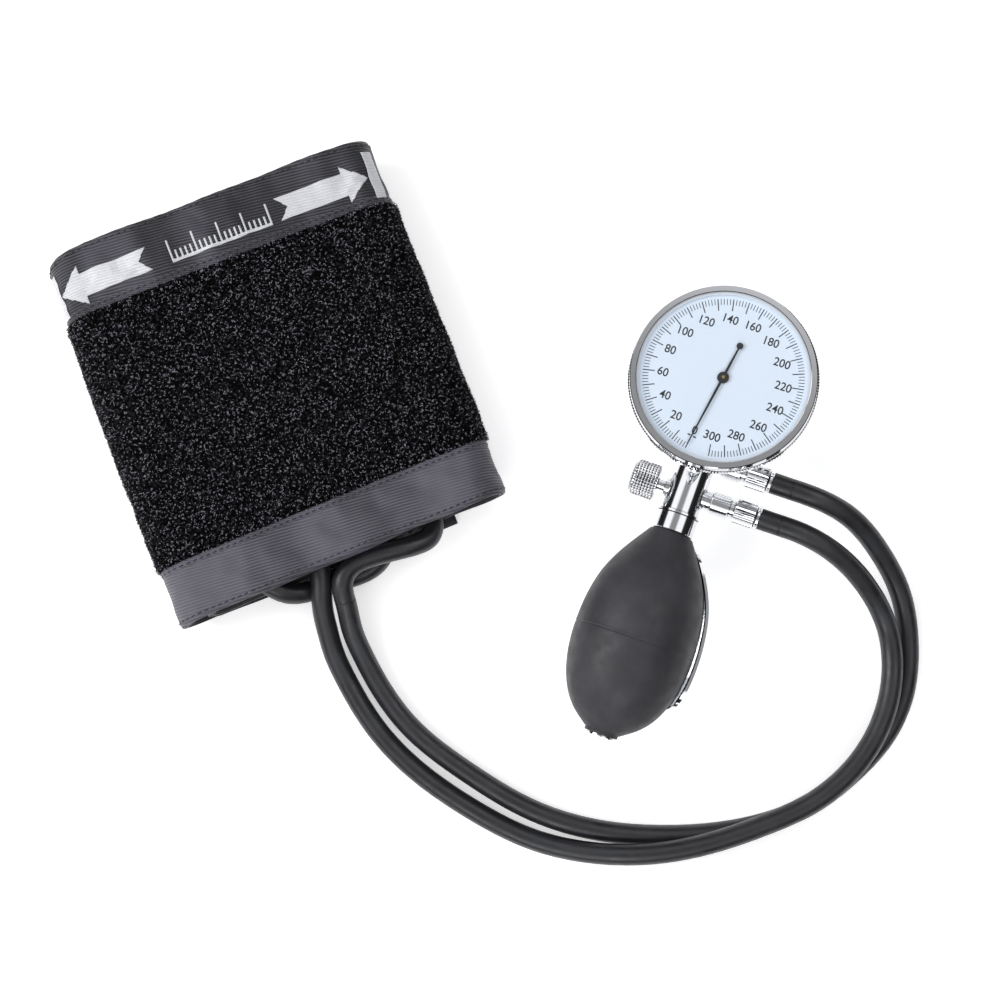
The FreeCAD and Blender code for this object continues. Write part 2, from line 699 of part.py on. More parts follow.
def make_rocking_shaft():
    across = -size("rocker_offset")
    level = size("rocker_level")
    shaft = rocker_rod(size("journal_radius"), -4.2, FINGER_SPOT + 0.6)
    arm = rocker_box((-0.7, 0.7), (across, 1.0), (level - 0.35, level + 0.35))
    finger = rocker_box((FINGER_SPOT - 0.6, FINGER_SPOT + 0.6),
                        (across - FINGER_HALF, across + FINGER_HALF), (level, FINGER_TOP))
    solid("rocking_shaft", shaft.fuse([arm, finger]), dial_axis)


def make_gears():
    module = size("gear_module")
    level, thick = size("sector_level"), size("plate_thickness")
    lower, upper = size("lower_bridge_level"), size("upper_bridge_level")
    journal = size("journal_radius")
    low_shoulder = lower + thick + 0.1
    high_shoulder = upper - 0.1

    # Pinion and its spindle, which carries the pointer.
    teeth = int(size("pinion_teeth"))
    pitch = module * teeth / 2
    radii = (pitch - 1.2 * module, pitch * math.cos(math.radians(20)), pitch, pitch + module)
    outline = []
    for index in range(teeth):
        # A gap between two teeth faces the sector's pivot.
        outline += tooth_points(teeth, (index + 0.5) * 2 * math.pi / teeth, radii)
    pinion = face_of(outline).extrude(Vector(0, 0, 1.4))
    pinion.translate(Vector(0, 0, level - 0.3))
    spindle = pinion.fuse([
        rod(journal, lower - 0.3, size("pointer_level") + 0.35),
        rod(1.0, low_shoulder, level - 0.25),
        rod(1.1, level + 1.05, high_shoulder),
    ])
    solid("pinion_spindle", spindle, dial_axis)

    # Toothed sector: its teeth start one and a half pitches past the pinion and run back by its turn.
    teeth = int(size("sector_teeth"))
    pitch = module * teeth / 2
    radii = (pitch - 1.3 * module, pitch, pitch + 0.6 * module)
    step = 2 * math.pi / teeth
    count = int(size("sector_turn") / math.degrees(step)) + 4
    outline = [Vector(0, 0, 0)]
    for index in range(count):
        outline += tooth_points(teeth, math.pi + (index - count + 3) * step, radii)
    fan = face_of(outline).extrude(Vector(0, 0, thick))
    fan.translate(Vector(0, 0, level))
    half_turn = size("sector_turn") / 2
    pin_angle = math.radians(180 + size("rocker_slant") - half_turn)
    pin = polar(size("tail_arm"), pin_angle)
    sector = fan.fuse([
        rod(3.3, level, level + thick),
        rod(journal, lower - 0.3, upper + thick + 0.3),
        rod(1.1, low_shoulder, high_shoulder),
        rod(size("tail_pin"), low_shoulder, level + 0.1, pin.x, pin.y),
    ])
    sector.translate(Vector(sector_pivot(), 0, 0))
    solid("sector_gear", sector, dial_axis)


def make_hairspring():
    """A flat spiral ribbon from the spindle's collet to the stud under the upper bridge."""
    start, end, turns = 1.15, 6.0, 4.0
    thickness, height, level = 0.12, 0.3, 27.5
    samples = 60

    def edge(offset):
        points = []
        for index in range(samples + 1):
            share = index / samples
            radius = start + (end - start) * share + offset
            points.append(polar(radius, 2 * math.pi * turns * share, level))
        curve = Part.BSplineCurve()
        curve.interpolate(points)
        return curve

    strip = Part.makeRuledSurface(edge(0.0).toShape(), edge(thickness).toShape())
    solid("hairspring", strip.extrude(Vector(0, 0, height)), dial_axis)


def make_capsule():
    rim, foil, top = size("capsule_rim"), size("foil"), size("capsule_top")
    radius = size("capsule_radius")
    waves = [(0.0, 0.0), (0.33, 0.45), (0.5, 0.2), (0.67, 0.7), (0.84, 0.5), (1.0, 1.0)]

    def shell(centre_level, neck):
        """A corrugated half: the foil's lower and upper outline from the neck to the rim."""
        low = []
        for share, drop in waves:
            level = centre_level + (rim - centre_level) * drop
            low.append(Vector(neck + (radius - neck) * share, 0, level))
        high = [point + Vector(0, 0, foil) for point in reversed(low)]
        return face_of(low + high).revolve(Vector(0, 0, 0), Vector(0, 0, 1), 360)

    neck = size("barb_radius")
    tube_foot = size("base_level + base_thickness + 0.5")
    tube = revolved([("link_radius", tube_foot), (neck, tube_foot), (neck, "14.9"),
                     ("link_radius", "14.9")])
    solid("capsule_lower", shell(14.6, 1.2).fuse(tube), dial_axis)
    solid("capsule_upper", shell(top - foil, 0.0).translated(Vector(0, 0, foil)), dial_axis)
    turned("push_boss", dial_axis, [
        ("0", "capsule_top + foil + slip"),
        ("1.6", "capsule_top + foil + slip"),
        ("1.6", "capsule_top + foil + 0.25"),
        ("0.5", "capsule_top + foil + 0.35"),
        ("0.35", "rocker_level - 0.5"),
        ("0", "rocker_level - 0.4"),
    ])


def make_pointer():
    level = size("pointer_level")
    reach, tail = size("pointer_reach"), size("pointer_tail")
    blade = face_of([
        Vector(-0.22, reach, level), Vector(0, reach + 0.6, level), Vector(0.22, reach, level),
        Vector(0.5, 2, level), Vector(0.5, -2, level), Vector(0.3, -tail, level),
        Vector(-0.3, -tail, level), Vector(-0.5, -2, level), Vector(-0.5, 2, level),
    ]).extrude(Vector(0, 0, 0.2))
    pointer = blade.fuse([rod(2.0, level, level + 0.2), rod(1.25, level, level + 0.2, 0, -tail)])
    pointer = pointer.cut(rod(size("journal_radius") + 0.02, level - 1, level + 1))
    pointer.rotate(Vector(0, 0, 0), Vector(0, 0, 1), -size("pointer_clock"))
    solid("pointer", pointer, dial_axis)
    disc("pointer_hub", "dial_hole - 0.2", "journal_radius + 0.02", "pointer_level - 0.7", "0.65")


# ---------------------------------------------------------------- cuff

STRIP_RUNS = [
    ("line", "end_run", None),
    ("bend", "left_round", "180 - crown_angle / 2"),
    ("bend", "crown_run / (crown_angle * 3.141593 / 180)", "crown_angle"),
    ("bend", "right_round", "180 - crown_angle / 2"),
    ("line", "inner_run", None),
    ("bend", "inner_round", "180"),
    ("line", "tuck_run", None),
]


def strip_edges(offset, start, end):
    """The strip's rolled path in the XZ plane, moved outwards, between two lengths along it."""
    spot = Vector(size("end_run - crown_run / 2 + roll_shift"), 0, size("strip_half"))
    heading = math.pi
    edges = []
    walked = 0.0
    for kind, measure, angle in STRIP_RUNS:
        length = size(measure)
        sweep = 0.0
        if kind == "bend":
            radius = length
            sweep = math.radians(size(angle))
            length = radius * sweep
        first = min(max(start - walked, 0.0), length)
        last = min(max(end - walked, 0.0), length)

        def at(distance):
            """The offset point and the heading after a distance along this run."""
            facing = heading - sweep * distance / length
            if kind == "bend":
                hub = spot + Vector(math.sin(heading), 0, -math.cos(heading)) * radius
                outward = Vector(-math.sin(facing), 0, math.cos(facing))
                return hub + outward * (radius + offset)
            forward = Vector(math.cos(heading), 0, math.sin(heading))
            outward = Vector(-math.sin(heading), 0, math.cos(heading))
            return spot + forward * distance + outward * offset

        if last - first > 1e-6:
            if kind == "bend":
                arc = Part.Arc(at(first), at((first + last) / 2), at(last))
                edges.append(arc.toShape())
            else:
                edges.append(Part.LineSegment(at(first), at(last)).toShape())
        moved = at(length)
        heading -= sweep
        spot = moved - Vector(-math.sin(heading), 0, math.cos(heading)) * offset
        walked += length
    return edges


def strip_length(runs):
    """Length of the strip's path over its first few runs."""
    total = 0.0
    for kind, measure, angle in STRIP_RUNS[:runs]:
        total += size(measure) * (math.radians(size(angle)) if kind == "bend" else 1.0)
    return total


def ribbon(near, far, start, end, bottom, top):
    """A layer of the rolled strip between two offsets, two lengths and two heights."""
    inner, outer = strip_edges(near, start, end), strip_edges(far, start, end)
    joins = [
        Part.LineSegment(inner[0].firstVertex().Point, outer[0].firstVertex().Point).toShape(),
        Part.LineSegment(inner[-1].lastVertex().Point, outer[-1].lastVertex().Point).toShape(),
    ]
    outline = Part.Wire(Part.__sortEdges__(inner + outer + joins))
    layer = Part.Face(outline).extrude(Vector(0, top - bottom, 0))
    layer.translate(Vector(0, bottom, 0))
    return layer


def make_cuff():
    half = size("cuff_height") / 2
    cloth, skin = size("cloth_inner"), size("strip_half")
    whole = strip_length(len(STRIP_RUNS))
    tubes = [size("bulb_tube_x"), size("gauge_tube_x")]
    gap = size("hose_radius") + 0.6
    slots = [boxed((x - gap - 2.5, -half - 1, 3.4), (x + gap, -half + 22, 7.2)) for x in tubes]
    for label, near, far in (("cuff_outer_cloth", cloth, skin), ("cuff_inner_cloth", -skin, -cloth)):
        layer = ribbon(near, far, 0, whole, -half, half)
        solid(label, layer.cut(slots), cuff_place)

    pile_start = strip_length(1) + size("left_round") * math.radians(36)
    pile_end = strip_length(3) + size("right_round") * math.radians(140)
    pile = ribbon(skin + 0.05, skin + size("pile_thickness"), pile_start, pile_end,
                  size("pile_bottom"), size("pile_top"))
    solid("loop_pile", pile, cuff_place)
    hook = ribbon(-skin - 0.85, -skin - 0.05, 2, 62, -half + 25, half - 25)
    solid("hook_patch", hook, cuff_place)

    wall = size("bladder_half")
    bag_start, bag_end = strip_length(4) + 2, whole - 6
    bag = ribbon(-wall, wall, bag_start, bag_end, -60, 62)
    hollow = ribbon(-wall + 0.45, wall - 0.45, bag_start + 4, bag_end - 4, -56, 58)
    level = size("tube_level")
    toward = Vector(0, -1, 0)
    bore, length = size("barb_bore"), size("nipple_length")
    nipples = [Part.makeCylinder(size("nipple_radius"), length, Vector(x, -54, level), toward)
               for x in tubes]
    bores = [Part.makeCylinder(bore, length, Vector(x, -56, level), toward) for x in tubes]
    drops = [rod(0.8, 5.4, level, x, -57.5) for x in tubes]
    bladder = bag.cut(hollow).fuse(nipples).cut(bores + drops)
    solid("bladder", bladder, cuff_place)


# ---------------------------------------------------------------- hoses

# Points that the middle of each hose passes through, from the cuff to the handset.
# In the cuff's own frame, inside and just below the roll:
BULB_HOSE_LOOP = [(16.4, -73.2, 7.7), (13.0, -78.6, 6.5), (5.5, -81.3, 5.3), (-6, -80.9, 5.0),
                  (-17, -80.7, 6.0), (-25.5, -78.6, 9.6), (-31.5, -72, 12.6), (-35.0, -60, 13.2),
                  (-32.0, -48, 13.2), (-22.5, -42.5, 13.2), (-13.2, -48, 13.4), (-10.6, -60, 13.9),
                  (-10.4, -72, 14.3)]
GAUGE_HOSE_LOOP = [(36.7, -73.5, 8.9), (33.6, -78.2, 11.0), (27, -79.4, 13.8), (17, -78.4, 15.7),
                   (7, -77.6, 16.1), (0.2, -79.0, 16.4)]
# On the table:
BULB_HOSE_ROUTE = [(-62.9, -31.7, 14.0), (-62.5, -41.0, 12.2), (-60.8, -50.5, 9.4), (-58.1, -60.1, 6.8),
                   (-53.7, -69.7, 5.0), (-42.2, -88.3, 4.3), (-26.3, -104.7, 4.3), (-7.0, -118.2, 4.3),
                   (18.6, -131.0, 4.6), (43.9, -136.0, 8.4), (69.4, -135.2, 11.6),
                   (88.2, -131.1, 12.8), (107.1, -124.7, 12.9), (126.2, -115.8, 12.8),
                   (148.3, -93.5, 12.4), (156.4, -71.0, 11.2), (155.6, -52.0, 11.6),
                   (147.5, -36.5, 18.0), (133.5, -23.0, 26.5)]
GAUGE_HOSE_ROUTE = [(-54.3, -32.4, 16.3), (-53.2, -41.0, 13.2), (-51.2, -50.5, 9.4), (-47.3, -60.1, 6.4),
                    (-42.3, -69.7, 4.7), (-28.9, -87.9, 4.3), (-7.0, -105.2, 4.3),
                    (18.6, -120.0, 4.3), (44.1, -127.6, 4.3), (70.0, -129.6, 4.3),
                    (101.8, -126.4, 4.3), (125.8, -117.6, 4.3), (141.2, -106.2, 4.3),
                    (154.9, -91.4, 4.3), (162.8, -74.0, 4.3), (164.6, -55.2, 4.6),
                    (161.8, -38.5, 8.0), (152.0, -21.5, 16.5), (138.5, -8.3, 25.5)]


def hose_solid(curve):
    """A hollow hose: its outer and inner skins, closed by a flat ring at each end."""
    path = Part.Wire([curve.toShape()])
    ends = [(curve.value(at), curve.tangent(at)[0])
            for at in (curve.FirstParameter, curve.LastParameter)]
    radii = [size("hose_radius"), size("hose_bore")]
    faces = []
    for radius in radii:
        ring = Part.Wire([Part.makeCircle(radius, *ends[0])])
        faces += path.makePipeShell([ring], False, True).Faces
    for spot, heading in ends:
        outer, inner = [Part.Face(Part.Wire([Part.makeCircle(radius, spot, heading)]))
                        for radius in radii]
        faces.append(outer.cut(inner).Faces[0])
    skin = Part.Compound(faces)
    skin.sewShape()
    return Part.makeSolid(skin.Shells[0])


def make_hose(label, tube_x, loop, route, port):
    """A hollow hose from a bladder nipple, through its loop, to the barb at a handset port."""
    level = size("tube_level")
    fitting = side(port, OUT)
    # The hose is straight over the bladder's nipple and over the barb.
    nipple = [cuff_place.multVec(Vector(tube_x, y, level)) for y in (-61.2, -67.4)]
    barb = [fitting.multVec(Vector(0, 0, size("washer_end") + reach)) for reach in (14.5, 7.5, 0.3)]
    points = nipple + [cuff_place.multVec(Vector(*spot)) for spot in loop]
    points += [Vector(*spot) for spot in route] + barb
    curve = Part.BSplineCurve()
    curve.interpolate(points)
    solid(label, hose_solid(curve), Placement())


def make_hoses():
    make_hose("bulb_hose", size("bulb_tube_x"), BULB_HOSE_LOOP, BULB_HOSE_ROUTE, "lower_port")
    make_hose("gauge_hose", size("gauge_tube_x"), GAUGE_HOSE_LOOP, GAUGE_HOSE_ROUTE, "upper_port")


# ---------------------------------------------------------------- assembly

make_valve_body()
make_port("upper", "upper_port")
make_port("lower", "lower_port")
make_port_rings()
make_release_valve()
make_check_valve()
make_collar()
make_bulb()
make_spoon_guard()
make_inlet_valve()
make_gauge_case()
make_stem()
make_movement_frame()
make_rocking_shaft()
make_gears()
make_hairspring()
make_capsule()
make_pointer()
make_cuff()
make_hoses()
doc.recompute()

faults = [item.Name for item in doc.Objects if {"Invalid", "Error"} & set(item.State)]
for part in parts:
    if part.Shape.isNull() or not part.Shape.isValid():
        faults.append(part.Label)
if faults:
    raise SystemExit("failed: " + ", ".join(faults))

os.makedirs("parts", exist_ok=True)
for part in parts:
    part.Shape.exportStep(os.path.join("parts", part.Label + ".step"))
print(len(parts), "sub-parts written")
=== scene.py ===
import json
import math

import bmesh
import bpy
import numpy as np
from mathutils import Matrix, Vector


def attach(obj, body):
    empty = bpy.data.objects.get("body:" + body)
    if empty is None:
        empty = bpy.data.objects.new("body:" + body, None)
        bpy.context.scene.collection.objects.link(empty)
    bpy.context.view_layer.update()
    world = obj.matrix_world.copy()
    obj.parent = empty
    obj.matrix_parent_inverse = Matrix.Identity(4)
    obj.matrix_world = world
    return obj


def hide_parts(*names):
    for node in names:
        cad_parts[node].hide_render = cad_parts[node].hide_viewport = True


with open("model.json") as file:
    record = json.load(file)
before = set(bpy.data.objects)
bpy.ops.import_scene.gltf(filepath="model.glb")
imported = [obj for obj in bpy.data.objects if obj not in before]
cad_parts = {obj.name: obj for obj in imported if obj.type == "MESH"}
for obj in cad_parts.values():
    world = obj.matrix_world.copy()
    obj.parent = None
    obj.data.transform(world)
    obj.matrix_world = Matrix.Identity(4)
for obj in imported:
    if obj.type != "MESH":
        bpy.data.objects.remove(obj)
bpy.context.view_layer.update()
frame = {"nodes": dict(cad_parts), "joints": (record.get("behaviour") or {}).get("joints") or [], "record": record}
MM = 0.001               # lengths are in millimetres, unless a comment says metres

# ---------------------------------------------------------------- places taken from the CAD


def joint(name):
    """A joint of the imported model."""
    return next(each for each in frame["joints"] if each["name"] == name)


def axes(origin, across, normal):
    """A frame with X along across and Z along normal."""
    z = Vector(normal).normalized()
    y = z.cross(Vector(across)).normalized()
    turn = Matrix([y.cross(z), y, z]).transposed()
    return Matrix.Translation(Vector(origin)) @ turn.to_4x4()


def local_points(node, place):
    """A CAD node's points in a local frame, in millimetres."""
    back = np.array(place.inverted())
    points = np.array([vertex.co for vertex in frame["nodes"][node].data.vertices])
    return (points @ back[:3, :3].T + back[:3, 3]) / MM


# The dial: X towards the hose ports, Y away from the bulb, Z out through the lens.
dial_spot = Vector(joint("pointer_turn")["pos_m"])
DIAL = axes(dial_spot, joint("upper_nut_turn")["axis"], joint("pointer_turn")["axis"])
# The bulb: Z along the handset from the gauge to the bulb's tail.
handset_level = (DIAL.inverted() @ Vector(joint("release_turn")["pos_m"])).z
BULB = DIAL @ Matrix.Translation((0, 0, handset_level)) @ Matrix.Rotation(math.radians(90), 4, "X")
# The cuff: it lies on the table, X across the arm and Y towards its printed edge.
CUFF_TURN = 21.4
cuff_rest = next(each for each in frame["record"]["mounts"] if each["name"] == "cuff_rest")
CUFF = Matrix.Translation(Vector(cuff_rest["pos_m"])) @ Matrix.Rotation(math.radians(CUFF_TURN), 4, "Z")

# The strip that the cuff is rolled from, across its length: its edges and the pile's.
HALF_WIDTH = 75.0
PILE_BOTTOM, PILE_TOP = -53.0, 48.5
# Along its length: where it has turned up from the table, round the left side.
FACE_START = 112.0


# ---------------------------------------------------------------- meshes


def piece(name, points, faces, place, body, material, replaces=()):
    """A new mesh piece, given in millimetres in a local frame, that rides on a CAD body."""
    mesh = bpy.data.meshes.new(name)
    turn = np.array(place)
    world = np.asarray(points, float) * MM @ turn[:3, :3].T + turn[:3, 3]
    mesh.from_pydata(world.tolist(), [], [list(map(int, face)) for face in faces])
    mesh.shade_smooth()
    mesh.materials.append(material)
    thing = bpy.data.objects.new(name, mesh)
    bpy.context.scene.collection.objects.link(thing)
    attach(thing, body)
    if replaces:
        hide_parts(*replaces)
    return thing


def tag(thing, name, values):
    """Stores a vector per point, in millimetres, for the materials to read."""
    store = thing.data.attributes.new(name, "FLOAT_VECTOR", "POINT")
    store.data.foreach_set("vector", np.asarray(values, np.float32).ravel())


def ribbon_faces(first, count):
    """The quads of a ribbon whose points go in pairs."""
    return [[low, low + 1, low + 3, low + 2] for low in range(first, first + count - 2, 2)]


def grid_faces(rows, columns, first=0, flip=False, close_columns=False):
    """The quads of a grid of points stored row by row."""
    faces = []
    wide = columns if close_columns else columns - 1
    for row in range(rows - 1):
        for column in range(wide):
            right = (column + 1) % columns
            quad = [first + row * columns + column, first + row * columns + right,
                    first + (row + 1) * columns + right, first + (row + 1) * columns + column]
            faces.append(quad[::-1] if flip else quad)
    return faces


# ---------------------------------------------------------------- materials


class Paint:
    """A principled material and the nodes that drive it."""

    def __init__(self, name, colour, roughness, **inputs):
        self.material = bpy.data.materials.new(name)
        self.material.use_nodes = True
        self.shader = self.material.node_tree.nodes["Principled BSDF"]
        self.fill(self.shader, {"Base Color": (*colour, 1.0), "Roughness": roughness, **inputs})

    def fill(self, node, inputs):
        """Sets a node's inputs, each to a value or to another node's output."""
        for key, value in inputs.items():
            if isinstance(value, bpy.types.NodeSocket):
                self.material.node_tree.links.new(value, node.inputs[key])
            else:
                node.inputs[key].default_value = value

    def add(self, kind, inputs=None, **settings):
        """A new node with its settings and inputs."""
        node = self.material.node_tree.nodes.new("ShaderNode" + kind)
        for key, value in settings.items():
            setattr(node, key, value)
        self.fill(node, inputs or {})
        return node

    def math(self, operation, *values):
        """The result of one piece of arithmetic."""
        node = self.add("Math", operation=operation)
        self.fill(node, dict(enumerate(values)))
        return node.outputs[0]

    def stretched(self, vector, factors):
        """A vector in millimetres, scaled by a factor along each axis and turned into metres."""
        factors = [each * MM for each in factors]
        return self.add("VectorMath", {0: vector, 1: factors}, operation="MULTIPLY").outputs[0]

    def where(self):
        """The point in the object, in metres."""
        return self.add("TexCoord").outputs["Object"]

    def noise(self, size_mm, detail=3.0, where=None):
        """Noise from 0 to 1 with features of a given size."""
        inputs = {"Vector": where or self.where(), "Scale": 1 / (size_mm * MM), "Detail": detail}
        return self.add("TexNoise", inputs).outputs["Fac"]

    def ramp(self, value, low, high, first=0.0, last=1.0):
        """A value eased from one number to another between two levels."""
        inputs = {"Value": value, "From Min": low, "From Max": high, "To Min": first, "To Max": last}
        return self.add("MapRange", inputs, interpolation_type="SMOOTHSTEP").outputs["Result"]

    def mix(self, factor, first, second):
        """Two colours mixed by a factor."""
        node = self.add("Mix", data_type="RGBA")
        node.inputs["Factor"].default_value = 0.5
        self.material.node_tree.links.new(factor, node.inputs["Factor"])
        for key, colour in (("A", first), ("B", second)):
            socket = [each for each in node.inputs if each.name == key and each.type == "RGBA"][0]
            if isinstance(colour, bpy.types.NodeSocket):
                self.material.node_tree.links.new(colour, socket)
            else:
                socket.default_value = (*colour, 1.0)
        return [each for each in node.outputs if each.type == "RGBA"][0]

    def bump(self, height, depth_mm, strength=1.0):
        """A surface normal that follows a height, of 1 for the full depth."""
        inputs = {"Height": height, "Distance": depth_mm * MM, "Strength": strength}
        return self.add("Bump", inputs).outputs["Normal"]

    def set(self, **inputs):
        """Sets the shader's inputs; an underscore in a name stands for a space."""
        self.fill(self.shader, {key.replace("_", " "): value for key, value in inputs.items()})
        return self.material


GROOVE_REACH = 0.9       # how near a wall has to be to count as a groove, in millimetres
GROOVE_OPEN = (0.45, 0.95)       # how open a place is in a groove's floor, where the painted shade is full, and out of the groove, where there is none


def metal(name, colour, roughness, smudge, grain, groove_shade):
    """Plated or ground metal: painted shade darkens its grooves, with soft smudges and a fine grain."""
    paint = Paint(name, colour, roughness, Metallic=1.0)
    # Painted shade: the metal is coloured darker where ambient occlusion finds grooves and recesses.
    open_sky = paint.add("AmbientOcclusion", {"Distance": GROOVE_REACH * MM}).outputs["AO"]
    shade = paint.ramp(open_sky, *GROOVE_OPEN)
    tint = paint.mix(shade, [groove_shade * each for each in colour], colour)
    polish = paint.ramp(paint.noise(9.0, 4.0), 0.35, 0.75, roughness, roughness + smudge)
    return paint.set(Base_Color=tint, Roughness=polish, Normal=paint.bump(paint.noise(0.5, 2.0), grain))


KNURL_FROM, KNURL_EASE = 4.0, 0.4        # the knurl covers what stands further out than this
KNURL_DEPTH = 0.1
KNURL_GROOVE_SHADE = 0.12      # how dark the painted shade makes the metal in the knurl's grooves


def local_coordinate(paint, row):
    """One coordinate of the shaded point in a local frame, from a row of that frame's matrix."""
    dot = paint.add("VectorMath", {0: paint.where(), 1: tuple(row)[:3]}, operation="DOT_PRODUCT")
    return paint.math("ADD", dot.outputs["Value"], row[3])


def knurled(name, colour, roughness, joint_name, count, pitch_mm):
    """Plated metal with a crossed knurl rolled in round a joint's axis, with painted shade in its grooves."""
    paint = Paint(name, colour, roughness, Metallic=1.0)
    turned = joint(joint_name)
    place = axes(turned["pos_m"], (0.0, 0.0, 1.0), turned["axis"]).inverted()
    local = [local_coordinate(paint, place[row]) for row in range(3)]
    angle = paint.math("MULTIPLY", paint.math("ARCTAN2", local[1], local[0]), float(count))
    run = paint.math("MULTIPLY", local[2], 2 * math.pi / (pitch_mm * MM))
    cut = paint.math("MULTIPLY", paint.math("SINE", paint.math("ADD", angle, run)),
                     paint.math("SINE", paint.math("SUBTRACT", angle, run)))
    radius = paint.math("SQRT", paint.math("ADD", paint.math("POWER", local[0], 2.0),
                                           paint.math("POWER", local[1], 2.0)))
    rolled = paint.ramp(radius, KNURL_FROM * MM, (KNURL_FROM + KNURL_EASE) * MM)
    height = paint.math("MULTIPLY", cut, rolled)
    # Painted shade: the knurl's grooves are coloured darker than its crests.
    tint = paint.mix(paint.ramp(height, -0.45, 0.1), [KNURL_GROOVE_SHADE * each for each in colour], colour)
    return paint.set(Base_Color=tint, Normal=paint.bump(height, KNURL_DEPTH))


def rubber(name, colour, dust, roughness, grain_mm, depth_mm):
    """Moulded rubber: matte and finely grained, with a trace of pale powder."""
    paint = Paint(name, colour, roughness)
    powder = paint.ramp(paint.noise(14.0, 6.0), 0.35, 0.8)
    tint = paint.mix(powder, colour, dust)
    rough = paint.ramp(paint.noise(5.0, 4.0), 0.3, 0.7, roughness - 0.06, roughness + 0.08)
    return paint.set(Base_Color=tint, Roughness=rough,
                     Normal=paint.bump(paint.noise(grain_mm, 2.0), depth_mm))


def weave_wave(paint, along, pitch_mm):
    """A sine wave along one of the cloth's directions."""
    return paint.math("SINE", paint.math("MULTIPLY", along, 2 * math.pi / pitch_mm))


RIB_WANDER = 0.5         # how far the ribs stray from straight, in ribs
THREAD_RISE = 0.35       # how far the crossing threads stand out against the ribs
RIB_DEPTH = 0.1
# How much paler the cloth gets as painted light and shade: highlights on its rib crests, highlights and shade on
# soft folds, and light that fades from its lower to its upper part.
RIB_LIGHT = (0.0, 0.6)
FOLD_LIGHT = (-0.22, 0.35)
HEM_LIGHT_RANGE = (0.42, -0.08)
FOLD_STRETCH = (0.045, 0.012, 0.0)       # folds per millimetre, along the strip and across it


def cloth(name, colour, glint, rib_mm, thread_mm, slant, sheen):
    """Woven cloth: ribs along the strip crossed by finer threads, with painted highlights on rib and fold crests,
    painted shade in fold hollows, and painted light towards the lower hem.
    """
    paint = Paint(name, colour, 0.6)
    spot = paint.add("Attribute", attribute_name="strip").outputs["Vector"]
    parts = paint.add("SeparateXYZ", {"Vector": spot}).outputs
    stray = paint.math("SUBTRACT", paint.noise(12.0), 0.5)
    wander = paint.math("MULTIPLY", stray, RIB_WANDER * rib_mm)
    across = paint.math("ADD", paint.math("MULTIPLY_ADD", parts["X"], slant, parts["Y"]), wander)
    rib = weave_wave(paint, across, rib_mm)
    thread = weave_wave(paint, parts["X"], thread_mm)
    height = paint.math("MULTIPLY_ADD", thread, THREAD_RISE, rib)
    # Painted light: fold crests are coloured paler and fold hollows darker, and the outer face is coloured paler
    # towards its lower hem.
    fold = paint.noise(1.0, 2.0, paint.stretched(spot, FOLD_STRETCH))
    fold_highlight = paint.ramp(fold, 0.35, 0.65, *FOLD_LIGHT)
    painted_hem_light = paint.math("MULTIPLY", paint.ramp(parts["Y"], -HALF_WIDTH, PILE_TOP, *HEM_LIGHT_RANGE),
                         paint.ramp(parts["X"], FACE_START - 8, FACE_START))
    # Painted highlight: rib crests are coloured paler than the hollows between them.
    light = paint.math("ADD", paint.ramp(height, -1.2, 1.3, *RIB_LIGHT),
                       paint.math("ADD", fold_highlight, painted_hem_light))
    tint = paint.mix(light, colour, glint)
    rough = paint.ramp(height, -1.2, 1.2, 0.7, 0.42)
    return paint.set(Base_Color=tint, Roughness=rough, Normal=paint.bump(height, RIB_DEPTH, 0.9),
                     Sheen_Weight=sheen, Sheen_Roughness=0.4)


def pile(name, colour, glint):
    """Brushed loops: almost black, with pale specks where fibres catch the light."""
    paint = Paint(name, colour, 0.8)
    specks = paint.ramp(paint.noise(1.1, 1.5), 0.5, 0.58)
    patches = paint.ramp(paint.noise(9.0, 4.0), 0.25, 0.6, 0.6, 1.0)
    tint = paint.mix(paint.math("MULTIPLY", specks, patches), colour, glint)
    return paint.set(Base_Color=tint, Normal=paint.bump(paint.noise(0.6, 3.0), 0.4),
                     Specular_IOR_Level=0.05)


CHROME = metal("polished_chrome", (0.80, 0.81, 0.83), 0.045, 0.05, 0.002, 0.12)
KNURL = knurled("knurled_chrome", (0.72, 0.73, 0.75), 0.16, "release_turn", 18, 2.3)
BRASS = metal("movement_brass", (0.72, 0.53, 0.24), 0.22, 0.12, 0.01, 0.7)
STEEL = metal("movement_steel", (0.58, 0.59, 0.61), 0.28, 0.1, 0.01, 0.5)
SEAL = rubber("seal_rubber", (0.03, 0.03, 0.03), (0.06, 0.06, 0.06), 0.55, 0.4, 0.02)
BULB_RUBBER = rubber("bulb_rubber", (0.024, 0.022, 0.027), (0.042, 0.040, 0.048), 0.52, 0.45, 0.04)
HOSE = rubber("hose_rubber", (0.012, 0.012, 0.015), (0.024, 0.025, 0.030), 0.37, 0.5, 0.025)
TWILL = cloth("cuff_twill", (0.006, 0.006, 0.008), (0.115, 0.110, 0.138), 1.15, 0.6, 0.12, 0.12)
LINING = cloth("cuff_lining", (0.003, 0.003, 0.004), (0.020, 0.020, 0.024), 0.8, 0.8, 0.0, 0.1)
BINDING = cloth("selvage_tape", (0.020, 0.020, 0.026), (0.12, 0.117, 0.15), 0.9, 0.7, 0.35, 0.2)
INK = cloth("print_ink", (0.62, 0.63, 0.66), (0.86, 0.87, 0.90), 1.1, 0.55, 0.12, 0.1)
LOOPS = pile("loop_fabric", (0.0004, 0.0004, 0.0005), (0.012, 0.012, 0.014))
FIBRES = pile("loop_fibre", (0.0006, 0.0006, 0.0008), (0.30, 0.29, 0.34))
HOOKS = rubber("hook_fabric", (0.012, 0.012, 0.014), (0.03, 0.03, 0.034), 0.5, 0.6, 0.05)


